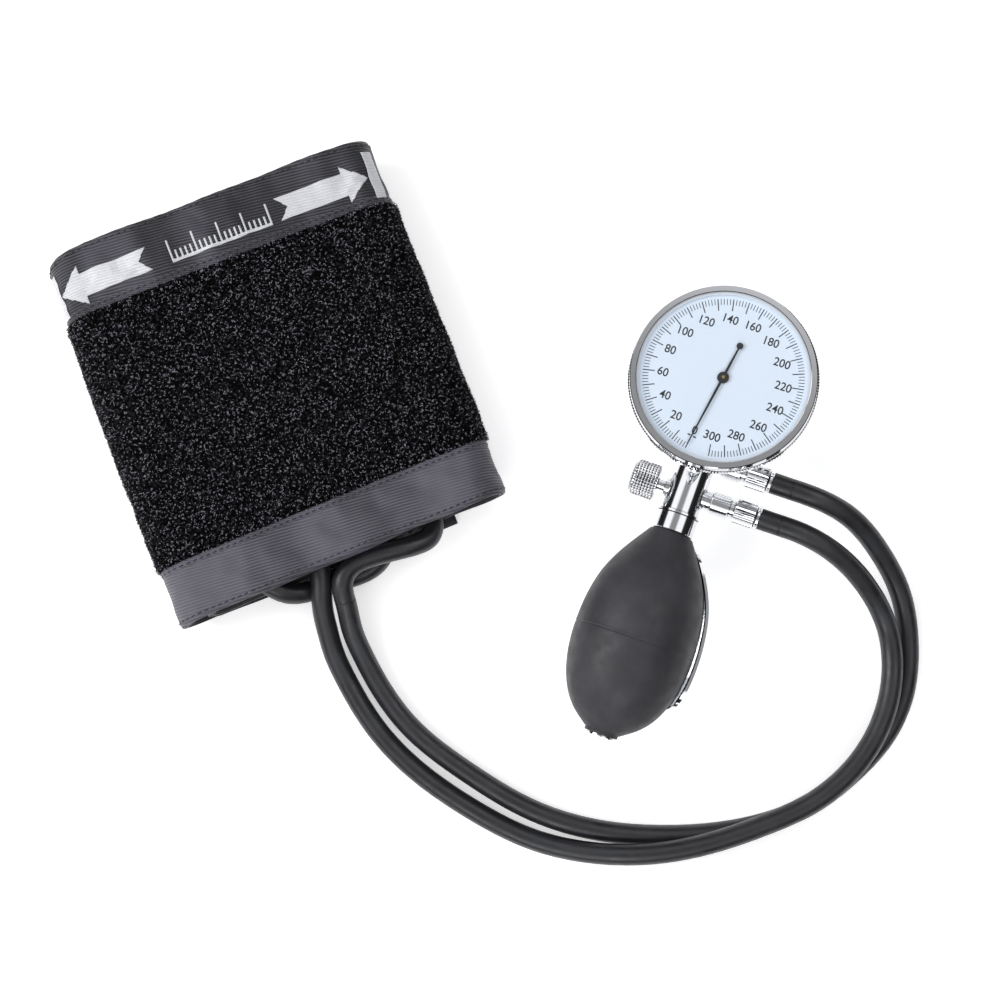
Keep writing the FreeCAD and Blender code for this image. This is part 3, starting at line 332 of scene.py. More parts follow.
def thread_paint():
    """Sewing thread: dark, twisted, slightly shiny."""
    paint = Paint("sewing_thread", (0.01, 0.01, 0.012), 0.5)
    twist = paint.noise(0.35, 2.0)
    return paint.set(Base_Color=paint.mix(twist, (0.002, 0.002, 0.003), (0.02, 0.02, 0.024)),
                     Normal=paint.bump(twist, 0.1))


def dial_paint():
    """Satin lacquer with a faint cool tint, a faint painted glow and the finest orange peel."""
    paint = Paint("dial_face", (0.78, 0.85, 0.93), 0.42)
    tint = paint.mix(paint.noise(18.0, 2.0), (0.76, 0.84, 0.92), (0.80, 0.86, 0.94))
    # Painted light: the dial glows faintly in its own tint, so that it looks brighter lit.
    return paint.set(Base_Color=tint, Emission_Color=tint, Emission_Strength=0.03,
                     Normal=paint.bump(paint.noise(0.6, 2.0), 0.004))


def black_paint():
    """Satin black lacquer, as on the pointer and the printed scale."""
    paint = Paint("pointer_black", (0.012, 0.012, 0.014), 0.35)
    tint = paint.mix(paint.noise(1.5, 3.0), (0.008, 0.008, 0.010), (0.02, 0.02, 0.024))
    return paint.set(Base_Color=tint, Normal=paint.bump(paint.noise(0.4, 2.0), 0.004))


def spacer_paint():
    """Pale satin plastic."""
    paint = Paint("dial_spacer", (0.84, 0.87, 0.90), 0.4)
    tint = paint.mix(paint.noise(6.0, 2.0), (0.80, 0.84, 0.88), (0.88, 0.90, 0.93))
    return paint.set(Base_Color=tint, Normal=paint.bump(paint.noise(0.5, 2.0), 0.01))


def lens_paint():
    """Clear glass as a thin pane: see-through, with reflections that grow at grazing angles."""
    paint = Paint("lens_glass", (0.95, 0.97, 0.98), 0.03)
    tree = paint.material.node_tree
    front = paint.math("SUBTRACT", 1.0, paint.add("NewGeometry").outputs["Backfacing"])
    grazing = paint.math("MULTIPLY", paint.add("Fresnel", {"IOR": 1.45}).outputs["Fac"], front)
    smear = paint.ramp(paint.noise(16.0, 3.0), 0.4, 0.8, 0.02, 0.06)
    paint.set(Roughness=smear, Metallic=1.0)
    clear = paint.add("BsdfTransparent", {"Color": (0.97, 0.98, 0.99, 1.0)}).outputs[0]
    pane = paint.add("MixShader", {"Fac": grazing})
    tree.links.new(clear, pane.inputs[1])
    tree.links.new(paint.shader.outputs[0], pane.inputs[2])
    tree.links.new(pane.outputs[0], tree.nodes["Material Output"].inputs["Surface"])
    return paint.material


THREAD = thread_paint()
DIAL_FACE = dial_paint()
POINTER_BLACK = black_paint()
FINISHES = {
    "polished_chrome": CHROME, "movement_brass": BRASS, "movement_steel": STEEL,
    "dial_face": DIAL_FACE, "dial_spacer": spacer_paint(), "pointer_black": POINTER_BLACK,
    "lens_glass": lens_paint(), "seal_rubber": SEAL, "bulb_rubber": BULB_RUBBER, "hose_rubber": HOSE,
    "cuff_twill": TWILL, "cuff_lining": LINING, "loop_fabric": LOOPS, "hook_fabric": HOOKS,
}
# Nodes that look different from the others of their material slot.
NODE_FINISHES = {"release_knob": KNURL}


def paint_cad():
    """Gives each CAD node its own finish, or the one that the record names for it."""
    for part in frame["record"]["subparts"]:
        thing = frame["nodes"].get(part["node"])
        finish = NODE_FINISHES.get(part["node"]) or FINISHES.get(part["material_slot"])
        if thing is None or finish is None:
            continue
        thing.data.materials.clear()
        thing.data.materials.append(finish)


# ---------------------------------------------------------------- the rolled cuff

# The path of the rolled strip in the cuff's XZ plane: its length, or its radius and its turn.
STRIP_START = (45.7, 1.45)
LEFT_RADIUS, RIGHT_RADIUS, FOLD_RADIUS = 11.6, 9.62, 7.8
CROWN_RUN, CROWN_TURN = 112.0, 6.0
CROWN_RADIUS = CROWN_RUN / math.radians(CROWN_TURN)
SIDE_TURN = 180.0 - CROWN_TURN / 2
STRIP_RUNS = [(100.5, 0.0), (LEFT_RADIUS, SIDE_TURN), (CROWN_RADIUS, CROWN_TURN),
              (RIGHT_RADIUS, SIDE_TURN), (104.0, 0.0), (FOLD_RADIUS, 180.0), (90.0, 0.0)]
SKIN = 1.45              # half the thickness of the strip
CLOTH_INNER = 0.75       # inner face of each cloth
PILE_THICKNESS = 1.6


def run_length(run):
    """The length of one run of the path."""
    measure, turn = run
    return measure * math.radians(turn) if turn else measure


def strip_length(count):
    """The length along the strip at which a number of its runs have passed."""
    return sum(run_length(run) for run in STRIP_RUNS[:count])


def strip_points(along, across, offset):
    """Points of the rolled strip: the length along it, the place across it and the offset outwards."""
    along, across, offset = np.broadcast_arrays(along, across, offset)
    x = np.zeros(along.shape)
    z = np.zeros(along.shape)
    spot = np.array(STRIP_START)
    heading = math.pi
    walked = 0.0
    for number, (measure, turn) in enumerate(STRIP_RUNS):
        length = run_length((measure, turn))
        last = number == len(STRIP_RUNS) - 1
        here = (along >= walked - 1e-9) & ((along < walked + length) | last)
        step = along - walked
        sweep = math.radians(turn)
        facing = heading - sweep * step / length
        if turn:
            hub = spot + np.array([math.sin(heading), -math.cos(heading)]) * measure
            far_x = hub[0] - np.sin(facing) * (measure + offset)
            far_z = hub[1] + np.cos(facing) * (measure + offset)
            end = heading - sweep
            spot = hub + np.array([-math.sin(end), math.cos(end)]) * measure
        else:
            far_x = spot[0] + math.cos(heading) * step - math.sin(heading) * offset
            far_z = spot[1] + math.sin(heading) * step + math.cos(heading) * offset
            spot = spot + np.array([math.cos(heading), math.sin(heading)]) * length
        x[here], z[here] = far_x[here], far_z[here]
        heading -= sweep
        walked += length
    return np.stack([x, across, z], axis=-1)


WHOLE = strip_length(len(STRIP_RUNS))
CROWN_START, CROWN_END = strip_length(2), strip_length(3)
# The pile begins part of the way round the left side and ends part of the way round the right.
PILE_START = strip_length(1) + LEFT_RADIUS * math.radians(36)
PILE_END = strip_length(3) + RIGHT_RADIUS * math.radians(140)

# How far the outer cloth stands out from its seams, from a small cloth simulation over the part
# of the strip that shows: its grid of lengths, its grid across and the rise at each crossing.
PUFF_STEP = 3.0
PUFF_CAP = 1.6
PUFF_LOW = -0.15         # how far the cloth may sink in
PUFF_EASE = 20.0         # the length over which the folds begin, on the left round
PUFF_FRAMES = 24
PUFF_SCALE = 10 * MM     # the sheet is worked on ten times life size
PUFF_SLACK = 0.035       # how much too large the cloth is for its seams
SEAM_REACH = 5.0         # how far from a seam the cloth is still held by it
SEAM_HOLD = 0.12         # how much hold is left in the open cloth
SEAMS = (-HALF_WIDTH + 1.5, PILE_BOTTOM - 2.0, PILE_TOP + 2.0, HALF_WIDTH - 1.5)


def simulate_puff(along, across):
    """The outer cloth, a little too large for the seams that hold it, settles into soft folds."""
    grid_along, grid_across = np.meshgrid(along, across, indexing="ij")
    rest = strip_points(grid_along, grid_across, SKIN)
    out = strip_points(grid_along, grid_across, SKIN + 1.0) - rest
    mesh = bpy.data.meshes.new("puff")
    ripple = 0.05 * np.sin(grid_along * 0.35 + grid_across * 0.21)
    start = rest + out * ripple[..., None]
    mesh.from_pydata((start.reshape(-1, 3) * PUFF_SCALE).tolist(), [],
                     grid_faces(len(along), len(across)))
    sheet = bpy.data.objects.new("puff", mesh)
    bpy.context.scene.collection.objects.link(sheet)
    held = sheet.vertex_groups.new(name="held")
    near_seam = np.min([abs(grid_across - seam) for seam in SEAMS], axis=0)
    hold = np.clip(1.0 - (near_seam - 1.0) / SEAM_REACH, SEAM_HOLD, 1.0)
    hold[0], hold[-1] = 1.0, 1.0
    for number, weight in enumerate(hold.ravel()):
        held.add([number], float(weight), "REPLACE")
    swell = sheet.modifiers.new("swell", "CLOTH")
    swell.settings.vertex_group_mass = "held"
    swell.settings.pin_stiffness = 0.6
    swell.settings.shrink_min = -PUFF_SLACK
    swell.settings.tension_stiffness = 8.0
    swell.settings.compression_stiffness = 8.0
    swell.settings.bending_stiffness = 0.3
    swell.settings.effector_weights.gravity = 0.0
    swell.collision_settings.use_collision = False
    swell.point_cache.frame_end = PUFF_FRAMES
    for number in range(1, PUFF_FRAMES + 1):
        bpy.context.scene.frame_set(number)
    settled = sheet.evaluated_get(bpy.context.evaluated_depsgraph_get()).data
    points = np.array([vertex.co for vertex in settled.vertices]).reshape(rest.shape) / PUFF_SCALE
    rise = ((points - rest) * out).sum(axis=-1)
    bpy.context.scene.frame_set(1)
    bpy.data.objects.remove(sheet)
    bpy.data.meshes.remove(mesh)
    begun = np.clip((grid_along - strip_length(1) - 6.0) / PUFF_EASE, 0, 1)
    return PUFF_CAP * np.tanh(np.maximum(rise, PUFF_LOW) / PUFF_CAP) * begun


puff_along = np.arange(strip_length(1) - 12.0, strip_length(4) + 1.0, PUFF_STEP)
puff_across = np.linspace(-HALF_WIDTH, HALF_WIDTH, int(2 * HALF_WIDTH / PUFF_STEP) + 1)
puff_rise = simulate_puff(puff_along, puff_across)


def puff(along, across):
    """The rise of the outer cloth at any place on the strip."""
    along, across = np.broadcast_arrays(along, across)
    row = np.clip((along - puff_along[0]) / PUFF_STEP, 0, len(puff_along) - 1.001)
    column = np.clip((across - puff_across[0]) / (puff_across[1] - puff_across[0]), 0,
                     len(puff_across) - 1.001)
    top, left = row.astype(int), column.astype(int)
    down, right = row - top, column - left
    above = puff_rise[top, left] * (1 - right) + puff_rise[top, left + 1] * right
    below = puff_rise[top + 1, left] * (1 - right) + puff_rise[top + 1, left + 1] * right
    shown = (along > puff_along[0]) & (along < puff_along[-1])
    return np.where(shown, above * (1 - down) + below * down, 0.0)


ROLL_HALF = 67.0         # half the width of the rolled cuff
SKEW = 1.8               # how far the lower hem runs out of square at each side
UNDER_SLIP = 3.0         # how far the layer on the table slips out below the hem, at the right
CORNER_DROP = 4.5        # how far the printed edge sags where it turns under
SAG_START, SAG_EASE = CROWN_START + 8.0, 26.0
HEM_EASE = 4.0           # how far in from the hems their waviness reaches


def drape(along, across):
    """How far a point of the strip lies off its place across it: a sewn roll is never quite square."""
    side = np.clip(strip_points(along, 0.0, 0.0)[..., 0] / ROLL_HALF, -1, 1)
    skewed = SKEW * side * np.clip(-across / HALF_WIDTH, 0, 1)
    turned = np.clip((SAG_START - along) / SAG_EASE, 0, 1) ** 2
    sagged = CORNER_DROP * turned * np.clip((across - PILE_TOP) / (HALF_WIDTH - PILE_TOP), 0, 1)
    edge = np.clip((abs(across) - HALF_WIDTH + HEM_EASE) / HEM_EASE, 0, 1) * np.sign(across)
    wander = 0.35 * np.sin(along / 17.0) + 0.2 * np.sin(along / 6.1 + 1.0)
    slipped = np.where(along < strip_length(1), UNDER_SLIP * (side + 1) / 2, 0.0)
    return skewed - sagged - slipped + edge * wander


def cuff_points(along, across, offset):
    """Points of the draped strip."""
    return strip_points(along, across + drape(along, across), offset)


TUBE_X = (16.8, 37.1)    # where the hoses leave the cuff
TUBE_HALF = 9.0          # half the width of the sleeve that the cloth forms over a hose
TUBE_DEEP, TUBE_EASE = 19.0, 7.0         # how far the sleeves reach in from the edge
TUBE_LIFT_OUTER, TUBE_LIFT_INNER = 0.95, 6.4


def over_tubes(along, across, lift):
    """How far a cloth of the inner run gives way to the hoses between the cloths."""
    spots = strip_points(along, across, 0.0)
    inner_run = (along > strip_length(4)) & (along < strip_length(5))
    edge = np.clip((-HALF_WIDTH + TUBE_DEEP - across) / TUBE_EASE, 0, 1)
    ease = edge * edge * (3 - 2 * edge)
    away = np.min([abs(spots[..., 0] - x) for x in TUBE_X], axis=0)
    arch = np.sqrt(np.clip(1 - (away / TUBE_HALF) ** 2, 0, 1))
    return np.where(inner_run, lift * ease * arch, 0.0)


def slab(name, along, across, top, bottom, material, replaces=()):
    """A closed layer of the rolled strip between two offsets, each one number or one per crossing."""
    grid_along, grid_across = np.meshgrid(along, across, indexing="ij")
    skins = [cuff_points(grid_along, grid_across, offset) for offset in (top, bottom)]
    rows, columns = grid_along.shape
    count = rows * columns
    faces = grid_faces(rows, columns, 0, flip=True) + grid_faces(rows, columns, count)
    border = list(range(columns))
    border += [row * columns + columns - 1 for row in range(1, rows)]
    border += [(rows - 1) * columns + column for column in range(columns - 2, -1, -1)]
    border += [row * columns for row in range(rows - 2, 0, -1)]
    for here, ahead in zip(border, border[1:] + border[:1]):
        faces.append([here, ahead, ahead + count, here + count])
    points = np.concatenate([skin.reshape(-1, 3) for skin in skins])
    layer = piece(name, points, faces, CUFF, "frame", material, replaces)
    strip = np.stack([grid_along, grid_across, np.zeros_like(grid_along)], axis=-1).reshape(-1, 3)
    tag(layer, "strip", np.concatenate([strip, strip]))


def steps(start, end, step):
    """Evenly spaced places from start to end, about a step apart."""
    return np.linspace(start, end, max(2, round((end - start) / step) + 1))


CLOTH_STEP = 1.6
HEM_OUTSIDE, HEM_INSIDE = 0.45, 0.4      # how far each cloth's faces draw in at the hems


def make_cloths():
    """The two cloths of the strip, sewn together along both hems."""
    along, across = steps(0, WHOLE, CLOTH_STEP), steps(-HALF_WIDTH, HALF_WIDTH, CLOTH_STEP)
    grid = np.meshgrid(along, across, indexing="ij")
    hem = np.clip((abs(grid[1]) - HALF_WIDTH + CLOTH_STEP) / CLOTH_STEP, 0, 1) ** 2
    outside = SKIN - HEM_OUTSIDE * hem
    inside = CLOTH_INNER - HEM_INSIDE * hem
    give = over_tubes(*grid, TUBE_LIFT_OUTER)
    slab("cuff_outer_fabric", along, across, outside + puff(*grid) + give, inside + give,
         TWILL, ["cuff_outer_cloth"])
    give = over_tubes(*grid, TUBE_LIFT_INNER)
    slab("cuff_inner_fabric", along, across, -inside - give, -outside - give,
         LINING, ["cuff_inner_cloth"])


PILE_GRAIN = 0.8         # the step of the pile's uneven base
PILE_RELIEF = 0.28
PILE_FOLLOWS = 0.6       # how much of the cloth's folds still shows in the pile
LOOP_COUNT = 26000
LOOP_HALF = 0.085        # half the width of a loop's fibre
LOOP_LEAN = 0.35
# A loop's arch: the reach in spans and the lift in heights.
LOOP_ARCH = [(-0.5, 0.0), (-0.42, 0.65), (0.0, 1.0), (0.42, 0.65), (0.5, 0.0)]


def make_pile():
    """The loop field: an uneven base with thousands of small loops of fibre standing out of it."""
    rng = np.random.default_rng(11)
    along, across = steps(PILE_START, PILE_END, PILE_GRAIN), steps(PILE_BOTTOM, PILE_TOP, PILE_GRAIN)
    grid = np.meshgrid(along, across, indexing="ij")
    rough = rng.uniform(-PILE_RELIEF, PILE_RELIEF, grid[0].shape)
    depth = np.minimum(np.minimum(grid[0] - PILE_START, PILE_END - grid[0]),
                       np.minimum(grid[1] - PILE_BOTTOM, PILE_TOP - grid[1]))
    crest = PILE_THICKNESS - 0.55 - 0.7 * np.clip(1 - depth / 1.6, 0, 1)
    rise = puff(*grid) * PILE_FOLLOWS
    slab("loop_field", along, across, SKIN + 0.06 + crest + rough + rise, SKIN + 0.05,
         LOOPS, ["loop_pile"])

    spots = np.stack([rng.uniform(PILE_START, PILE_END, LOOP_COUNT),
                      rng.uniform(PILE_BOTTOM - 0.3, PILE_TOP + 0.3, LOOP_COUNT)], axis=1)
    turn = rng.uniform(0, 2 * math.pi, LOOP_COUNT)
    span = rng.uniform(0.5, 1.1, LOOP_COUNT)
    height = rng.uniform(0.5, 1.15, LOOP_COUNT)
    base = SKIN + 0.75 + puff(spots[:, 0], spots[:, 1]) * PILE_FOLLOWS
    points = []
    for reach, lift in LOOP_ARCH:
        for side in (-LOOP_HALF, LOOP_HALF):
            dx = np.cos(turn) * reach * span - np.sin(turn) * side
            dy = np.sin(turn) * reach * span + np.cos(turn) * side
            lean = LOOP_LEAN * lift * np.sin(turn * 3)
            points.append(cuff_points(spots[:, 0] + dx + lean, spots[:, 1] + dy + lean,
                                      base + lift * height))
    faces = []
    for number in range(LOOP_COUNT):
        faces += ribbon_faces(number * len(points), len(points))
    piece("loop_fibres", np.stack(points, axis=1).reshape(-1, 3), faces, CUFF, "frame",
          FIBRES)


# The woven tapes along both edges of the pile: the middle of each across the strip, and its width.
TAPES = [("tape_upper", PILE_TOP + 1.4, 3.4), ("tape_lower", PILE_BOTTOM - 1.2, 2.6)]
TAPE_CROWN = 0.22


def make_tapes():
    """The woven tape that shows along both edges of the pile."""
    for name, middle, wide in TAPES:
        along = steps(PILE_START - 1, PILE_END + 1, 1.0)
        across = steps(middle - wide / 2, middle + wide / 2, 0.6)
        grid = np.meshgrid(along, across, indexing="ij")
        crown = TAPE_CROWN * (1 - ((grid[1] - middle) / (wide / 2)) ** 2)
        base = SKIN + puff(*grid)
        slab(name, along, across, base + 0.1 + crown, base + 0.02, BINDING)


STITCH_PITCH = 2.7
STITCH_LENGTH = 1.9
STITCH_RADIUS = 0.24
# The rows of stitches: the place across the strip, the ends along it, and the height on a tape.
STITCH_ROWS = [(-HALF_WIDTH + 1.7, 0.0, WHOLE, 0.0), (HALF_WIDTH - 1.7, 0.0, WHOLE, 0.0),
               (PILE_TOP + 1.9, PILE_START, PILE_END, 0.3),
               (PILE_BOTTOM - 1.6, PILE_START, PILE_END, 0.28)]
# One stitch: the place along it in stitch lengths, and the thickness in radii.
STITCH_SHAPE = [(-0.5, 0.15), (-0.4, 0.8), (-0.15, 1.0), (0.15, 1.0), (0.4, 0.8), (0.5, 0.15)]


def make_stitches():
    """Rows of lock stitches along both hems and along the tapes."""
    ring = [(math.cos(angle), math.sin(angle)) for angle in np.linspace(0, 2 * math.pi, 7)[:-1]]
    points, faces = [], []
    for across, start, end, lift in STITCH_ROWS:
        for middle in np.arange(start + 2, end - 2, STITCH_PITCH):
            first = len(points)
            ground = SKIN + float(puff(middle, across)) + lift
            for reach, thick in STITCH_SHAPE:
                here = middle + reach * STITCH_LENGTH
                sink = 0.16 * (2 * reach) ** 4
                for side, up in ring:
                    points.append(cuff_points(
                        here, across + side * STITCH_RADIUS * thick + 0.12 * reach,
                        ground + 0.05 - sink + up * STITCH_RADIUS * thick))
            faces += grid_faces(len(STITCH_SHAPE), len(ring), first, close_columns=True)
            last = len(points) - len(ring)
            faces += [[first + n for n in range(len(ring))][::-1], [last + n for n in range(len(ring))]]
    piece("cuff_stitching", np.array(points), faces, CUFF, "frame", THREAD)


PRINT_STEP = 0.4
PRINT_LIFT = 0.24
INK_THICKNESS = 0.03


def printed(name, inside, low, high):
    """A printed shape on the outer cloth, made of the small cells whose middles lie inside it."""
    along = steps(low[0], high[0], PRINT_STEP)
    across = steps(low[1], high[1], PRINT_STEP)
    grid = np.meshgrid(along, across, indexing="ij")
    lifted = SKIN + puff(*grid) + PRINT_LIFT
    points = cuff_points(grid[0], grid[1], lifted).reshape(-1, 3)
    middle_along = (grid[0][:-1, :-1] + grid[0][1:, 1:]) / 2
    middle_across = (grid[1][:-1, :-1] + grid[1][1:, 1:]) / 2
    keep = inside(middle_along, middle_across).ravel()
    faces = [face for face, kept in zip(grid_faces(*grid[0].shape, flip=True), keep) if kept]
    shape = piece(name, points, faces, CUFF, "frame", INK)
    strip = np.stack([grid[0], grid[1], np.zeros_like(grid[0])], axis=-1).reshape(-1, 3)
    tag(shape, "strip", strip)
    shell = shape.modifiers.new("ink", "SOLIDIFY")
    shell.thickness = INK_THICKNESS * MM


PRINT_MIDDLE = 59.6      # across the strip, the middle of the arrows
PRINT_LOW, PRINT_HIGH = 49.9, 70.0
LEFT_TIP, RIGHT_TIP = CROWN_START - 9.1, CROWN_END + 4.5
ARROW_LENGTH = 36.8
ARROW_HALF = 4.8         # half the width of the shaft
HEAD_HALF = 7.9
HEAD_LENGTH = 9.0
NOTCH = 4.5
BAR_WIDTH, BAR_GAP = 4.6, 0.6
SCALE_LENGTH, SCALE_MARKS = 40.0, 20
SCALE_BASE = PRINT_MIDDLE - 5.0
SCALE_LINE = 1.3         # the thickness of the scale's base line
LONG_MARK, SHORT_MARK, MARK_HALF = 9.0, 4.5, 0.5


def whole(along, across):
    """A shape that fills its whole grid."""
    return np.full(along.shape, True)


def make_print():
    """Two arrows that point outwards, a bar beyond each, and a plain ruled scale between them."""
    for name, tip, way in (("left", LEFT_TIP, 1), ("right", RIGHT_TIP, -1)):
        def arrow(along, across):
            back = (along - tip) * way
            side = abs(across - PRINT_MIDDLE)
            head = (back > 0) & (back < HEAD_LENGTH) & (side < HEAD_HALF * back / HEAD_LENGTH)
            tail = ARROW_LENGTH - NOTCH * (1 - side / ARROW_HALF)
            return head | ((back >= HEAD_LENGTH) & (back < tail) & (side < ARROW_HALF))

        start, end = sorted([tip, tip + ARROW_LENGTH * way])
        printed("arrow_" + name, arrow, (start, PRINT_MIDDLE - HEAD_HALF), (end, PRINT_MIDDLE + HEAD_HALF))
        start, end = sorted([tip - BAR_GAP * way, tip - (BAR_GAP + BAR_WIDTH) * way])
        printed("bar_" + name, whole, (start, PRINT_LOW), (end, PRINT_HIGH))

    middle = (CROWN_START + CROWN_END) / 2
    pitch = SCALE_LENGTH / SCALE_MARKS

    def ruled(along, across):
        place = (along - middle) / pitch
        mark = np.round(place)
        tall = np.where(mark % 5 == 0, LONG_MARK, SHORT_MARK)
        high = across - SCALE_BASE
        return (high < SCALE_LINE) | ((abs(place - mark) * pitch < MARK_HALF) & (high < tall))

    reach = SCALE_LENGTH / 2 + MARK_HALF
    printed("range_scale", ruled, (middle - reach, SCALE_BASE), (middle + reach, SCALE_BASE + LONG_MARK))


HOOK_FIELD = (2.0, 62.0)         # along the strip
HOOK_MARGIN = 25.0       # from the hems
HOOK_PITCH = 1.6
HOOK_HALF = 0.1          # half the width of a hook's strand
HOOK_SHAPE = [(0.0, 0.0), (0.0, 0.35), (0.12, 0.5), (0.3, 0.5), (0.38, 0.38)]


def make_hooks():
    """The hook tape under the first end of the strip: rows of small stiff hooks on a woven base."""
    edge = HALF_WIDTH - HOOK_MARGIN
    along, across = steps(*HOOK_FIELD, 1.5), steps(-edge, edge, 1.5)
    slab("hook_base", along, across, -SKIN - 0.05, -SKIN - 0.35, HOOKS, ["hook_patch"])
    points, faces = [], []
    for row, here in enumerate(np.arange(HOOK_FIELD[0] + 1.5, HOOK_FIELD[1] - 1, HOOK_PITCH)):
        shift = HOOK_PITCH / 2 * (row % 2)
        for spot in np.arange(-edge + 1 + shift, edge - 1, HOOK_PITCH):
            faces += ribbon_faces(len(points), 2 * len(HOOK_SHAPE))
            for reach, lift in HOOK_SHAPE:
                for side in (-HOOK_HALF, HOOK_HALF):
                    points.append(cuff_points(here + reach, spot + side, -SKIN - 0.33 - lift))
    piece("hook_rows", np.array(points), faces, CUFF, "frame", HOOKS)


# ---------------------------------------------------------------- bulb


# The bulb's outer skin: station along the handset, in millimetres from the dial's axis, and radius.
BULB_OUTLINE = [(57.2, 8.4), (64.0, 12.9), (76.0, 19.4), (97.5, 23.3), (118.4, 20.6), (130.5, 13.5),
                (135.7, 6.9)]
BULB_NECK = [(50.4, 4.95), (50.4, 7.2), (56.7, 7.2)]
BULB_LIP = [(135.8, 6.5), (136.9, 6.45), (137.2, 6.1), (137.2, 4.55), (128.0, 4.55)]
SEAM_STATION = 99.5      # where the two halves of the mould met
SEAM_HEIGHT = 0.16       # the scale of the mould's fine bead and of the groove beside it
BULB_COLUMNS = 160


def smooth_line(points, count):
    """A natural cubic curve through the points, at evenly spaced places."""
    points = np.array(points, float)
    at = np.concatenate([[0.0], np.cumsum(np.linalg.norm(np.diff(points, axis=0), axis=1))])
    gap = np.diff(at)
    size = len(points)
    matrix, right = np.eye(size), np.zeros(points.shape)
    for n in range(1, size - 1):
        matrix[n, n - 1:n + 2] = gap[n - 1], 2 * (gap[n - 1] + gap[n]), gap[n]
        slopes = np.diff(points[n - 1:n + 2], axis=0) / gap[n - 1:n + 1, None]
        right[n] = 6 * (slopes[1] - slopes[0])
    bend = np.linalg.solve(matrix, right)
    places = np.linspace(0, at[-1], count)
    left = np.clip(np.searchsorted(at, places, side="right") - 1, 0, size - 2)
    wide, a, b = gap[left][:, None], (at[left + 1] - places)[:, None], (places - at[left])[:, None]
    return (bend[left] * a ** 3 + bend[left + 1] * b ** 3) / (6 * wide) \
        + (points[left] / wide - bend[left] * wide / 6) * a \
        + (points[left + 1] / wide - bend[left + 1] * wide / 6) * b


def make_bulb():
    """The moulded bulb: its neck, its skin with the parting bead and its lip, turned round the axis."""
    skin = smooth_line(BULB_OUTLINE, 400)
    bead = 0.7 * np.exp(-((skin[:, 0] - SEAM_STATION) / 0.3) ** 2) \
        - 1.7 * np.exp(-((skin[:, 0] - SEAM_STATION - 0.55) / 0.25) ** 2)
    profile = np.array(BULB_NECK + skin.tolist() + BULB_LIP)
    bead = np.concatenate([np.zeros(len(BULB_NECK)), bead, np.zeros(len(BULB_LIP))])
    turn = np.linspace(0, 2 * math.pi, BULB_COLUMNS + 1)[:-1]
    station, angle = np.meshgrid(profile[:, 0], turn, indexing="ij")
    soft = 0.12 * np.sin(2 * angle + station / 19) + 0.08 * np.sin(3 * angle - station / 11)
    body = np.clip((profile[:, 1] - 9.0) / 6.0, 0, 1)[:, None]
    seam = SEAM_HEIGHT * bead[:, None] * (1 + 0.4 * np.sin(5 * angle))
    radius = profile[:, 1][:, None] + soft * body + seam
    points = np.stack([radius * np.cos(angle), radius * np.sin(angle), station], axis=-1).reshape(-1, 3)
    faces = grid_faces(len(profile), len(turn), flip=True, close_columns=True)
    faces.append(list(range(len(turn))))
    faces.append([len(points) - 1 - n for n in range(len(turn))])
    piece("bulb_skin", points, faces, BULB, "frame", BULB_RUBBER, ["bulb"])


# ---------------------------------------------------------------- the printed dial

TICK_OUTER = 29.5
MINOR_TICK, MAJOR_TICK = 2.2, 4.4
MINOR_HALF, MAJOR_HALF = 0.13, 0.19      # half the width of a mark
ZERO_BAR = (24.1, 24.6, 0.5, 1.7)        # beside the zero: from and to, out and aside
ZERO_CLOCK = 188.7       # where zero stands, in degrees clockwise from the top
DEGREES_PER_10 = 11.42   # for each 10 mmHg
FULL_SCALE = 300
NUMBER_RADIUS = 22.0
NUMBER_HEIGHT = 3.2
NUMBER_NARROW = 0.95
NUMBER_DEPTH, NUMBER_WEIGHT = 0.004, 0.012       # in text heights
NUMBER_LIFT = 0.01
INK_HEIGHT = 0.03


def dial_level():
    """The dial's painted face, above the origin of the dial's frame."""
    return local_points("dial_plate", DIAL)[:, 2].max()


def clock(radius, degrees, aside=0.0):
    """A point of the dial from its radius and its angle clockwise from the top."""
    angle = math.radians(degrees)
    return (radius * math.sin(angle) + aside * math.cos(angle),
            radius * math.cos(angle) - aside * math.sin(angle))


def plate(name, outlines, level):
    """Thin printed shapes on the dial, each from its outline."""
    points, faces = [], []
    for outline in outlines:
        first = len(points)
        count = len(outline)
        for height in (0.0, INK_HEIGHT):
            points += [(x, y, level + height) for x, y in outline]
        faces.append([first + n for n in range(count)])
        faces.append([first + count + n for n in range(count)][::-1])
        for n in range(count):
            ahead = (n + 1) % count
            faces.append([first + n, first + count + n, first + count + ahead, first + ahead])
    thing = piece(name, points, faces, DIAL, "frame", POINTER_BLACK)
    thing.data.shade_flat()


def make_scale(level):
    """A mark every 2 mmHg, longer every 10, and a small bar on each side of the pointer at zero."""
    marks = []
    for value in range(0, FULL_SCALE + 1, 2):
        degrees = ZERO_CLOCK + value / 10 * DEGREES_PER_10
        major = value % 10 == 0
        half = MAJOR_HALF if major else MINOR_HALF
        inner = TICK_OUTER - (MAJOR_TICK if major else MINOR_TICK)
        marks.append([clock(TICK_OUTER, degrees, -half), clock(TICK_OUTER, degrees, half),
                      clock(inner, degrees, half), clock(inner, degrees, -half)])
    low, high, near, far = ZERO_BAR
    for side in (-1, 1):
        marks.append([clock(high, ZERO_CLOCK, near * side), clock(high, ZERO_CLOCK, far * side),
                      clock(low, ZERO_CLOCK, far * side), clock(low, ZERO_CLOCK, near * side)])
    plate("dial_scale", marks, level)


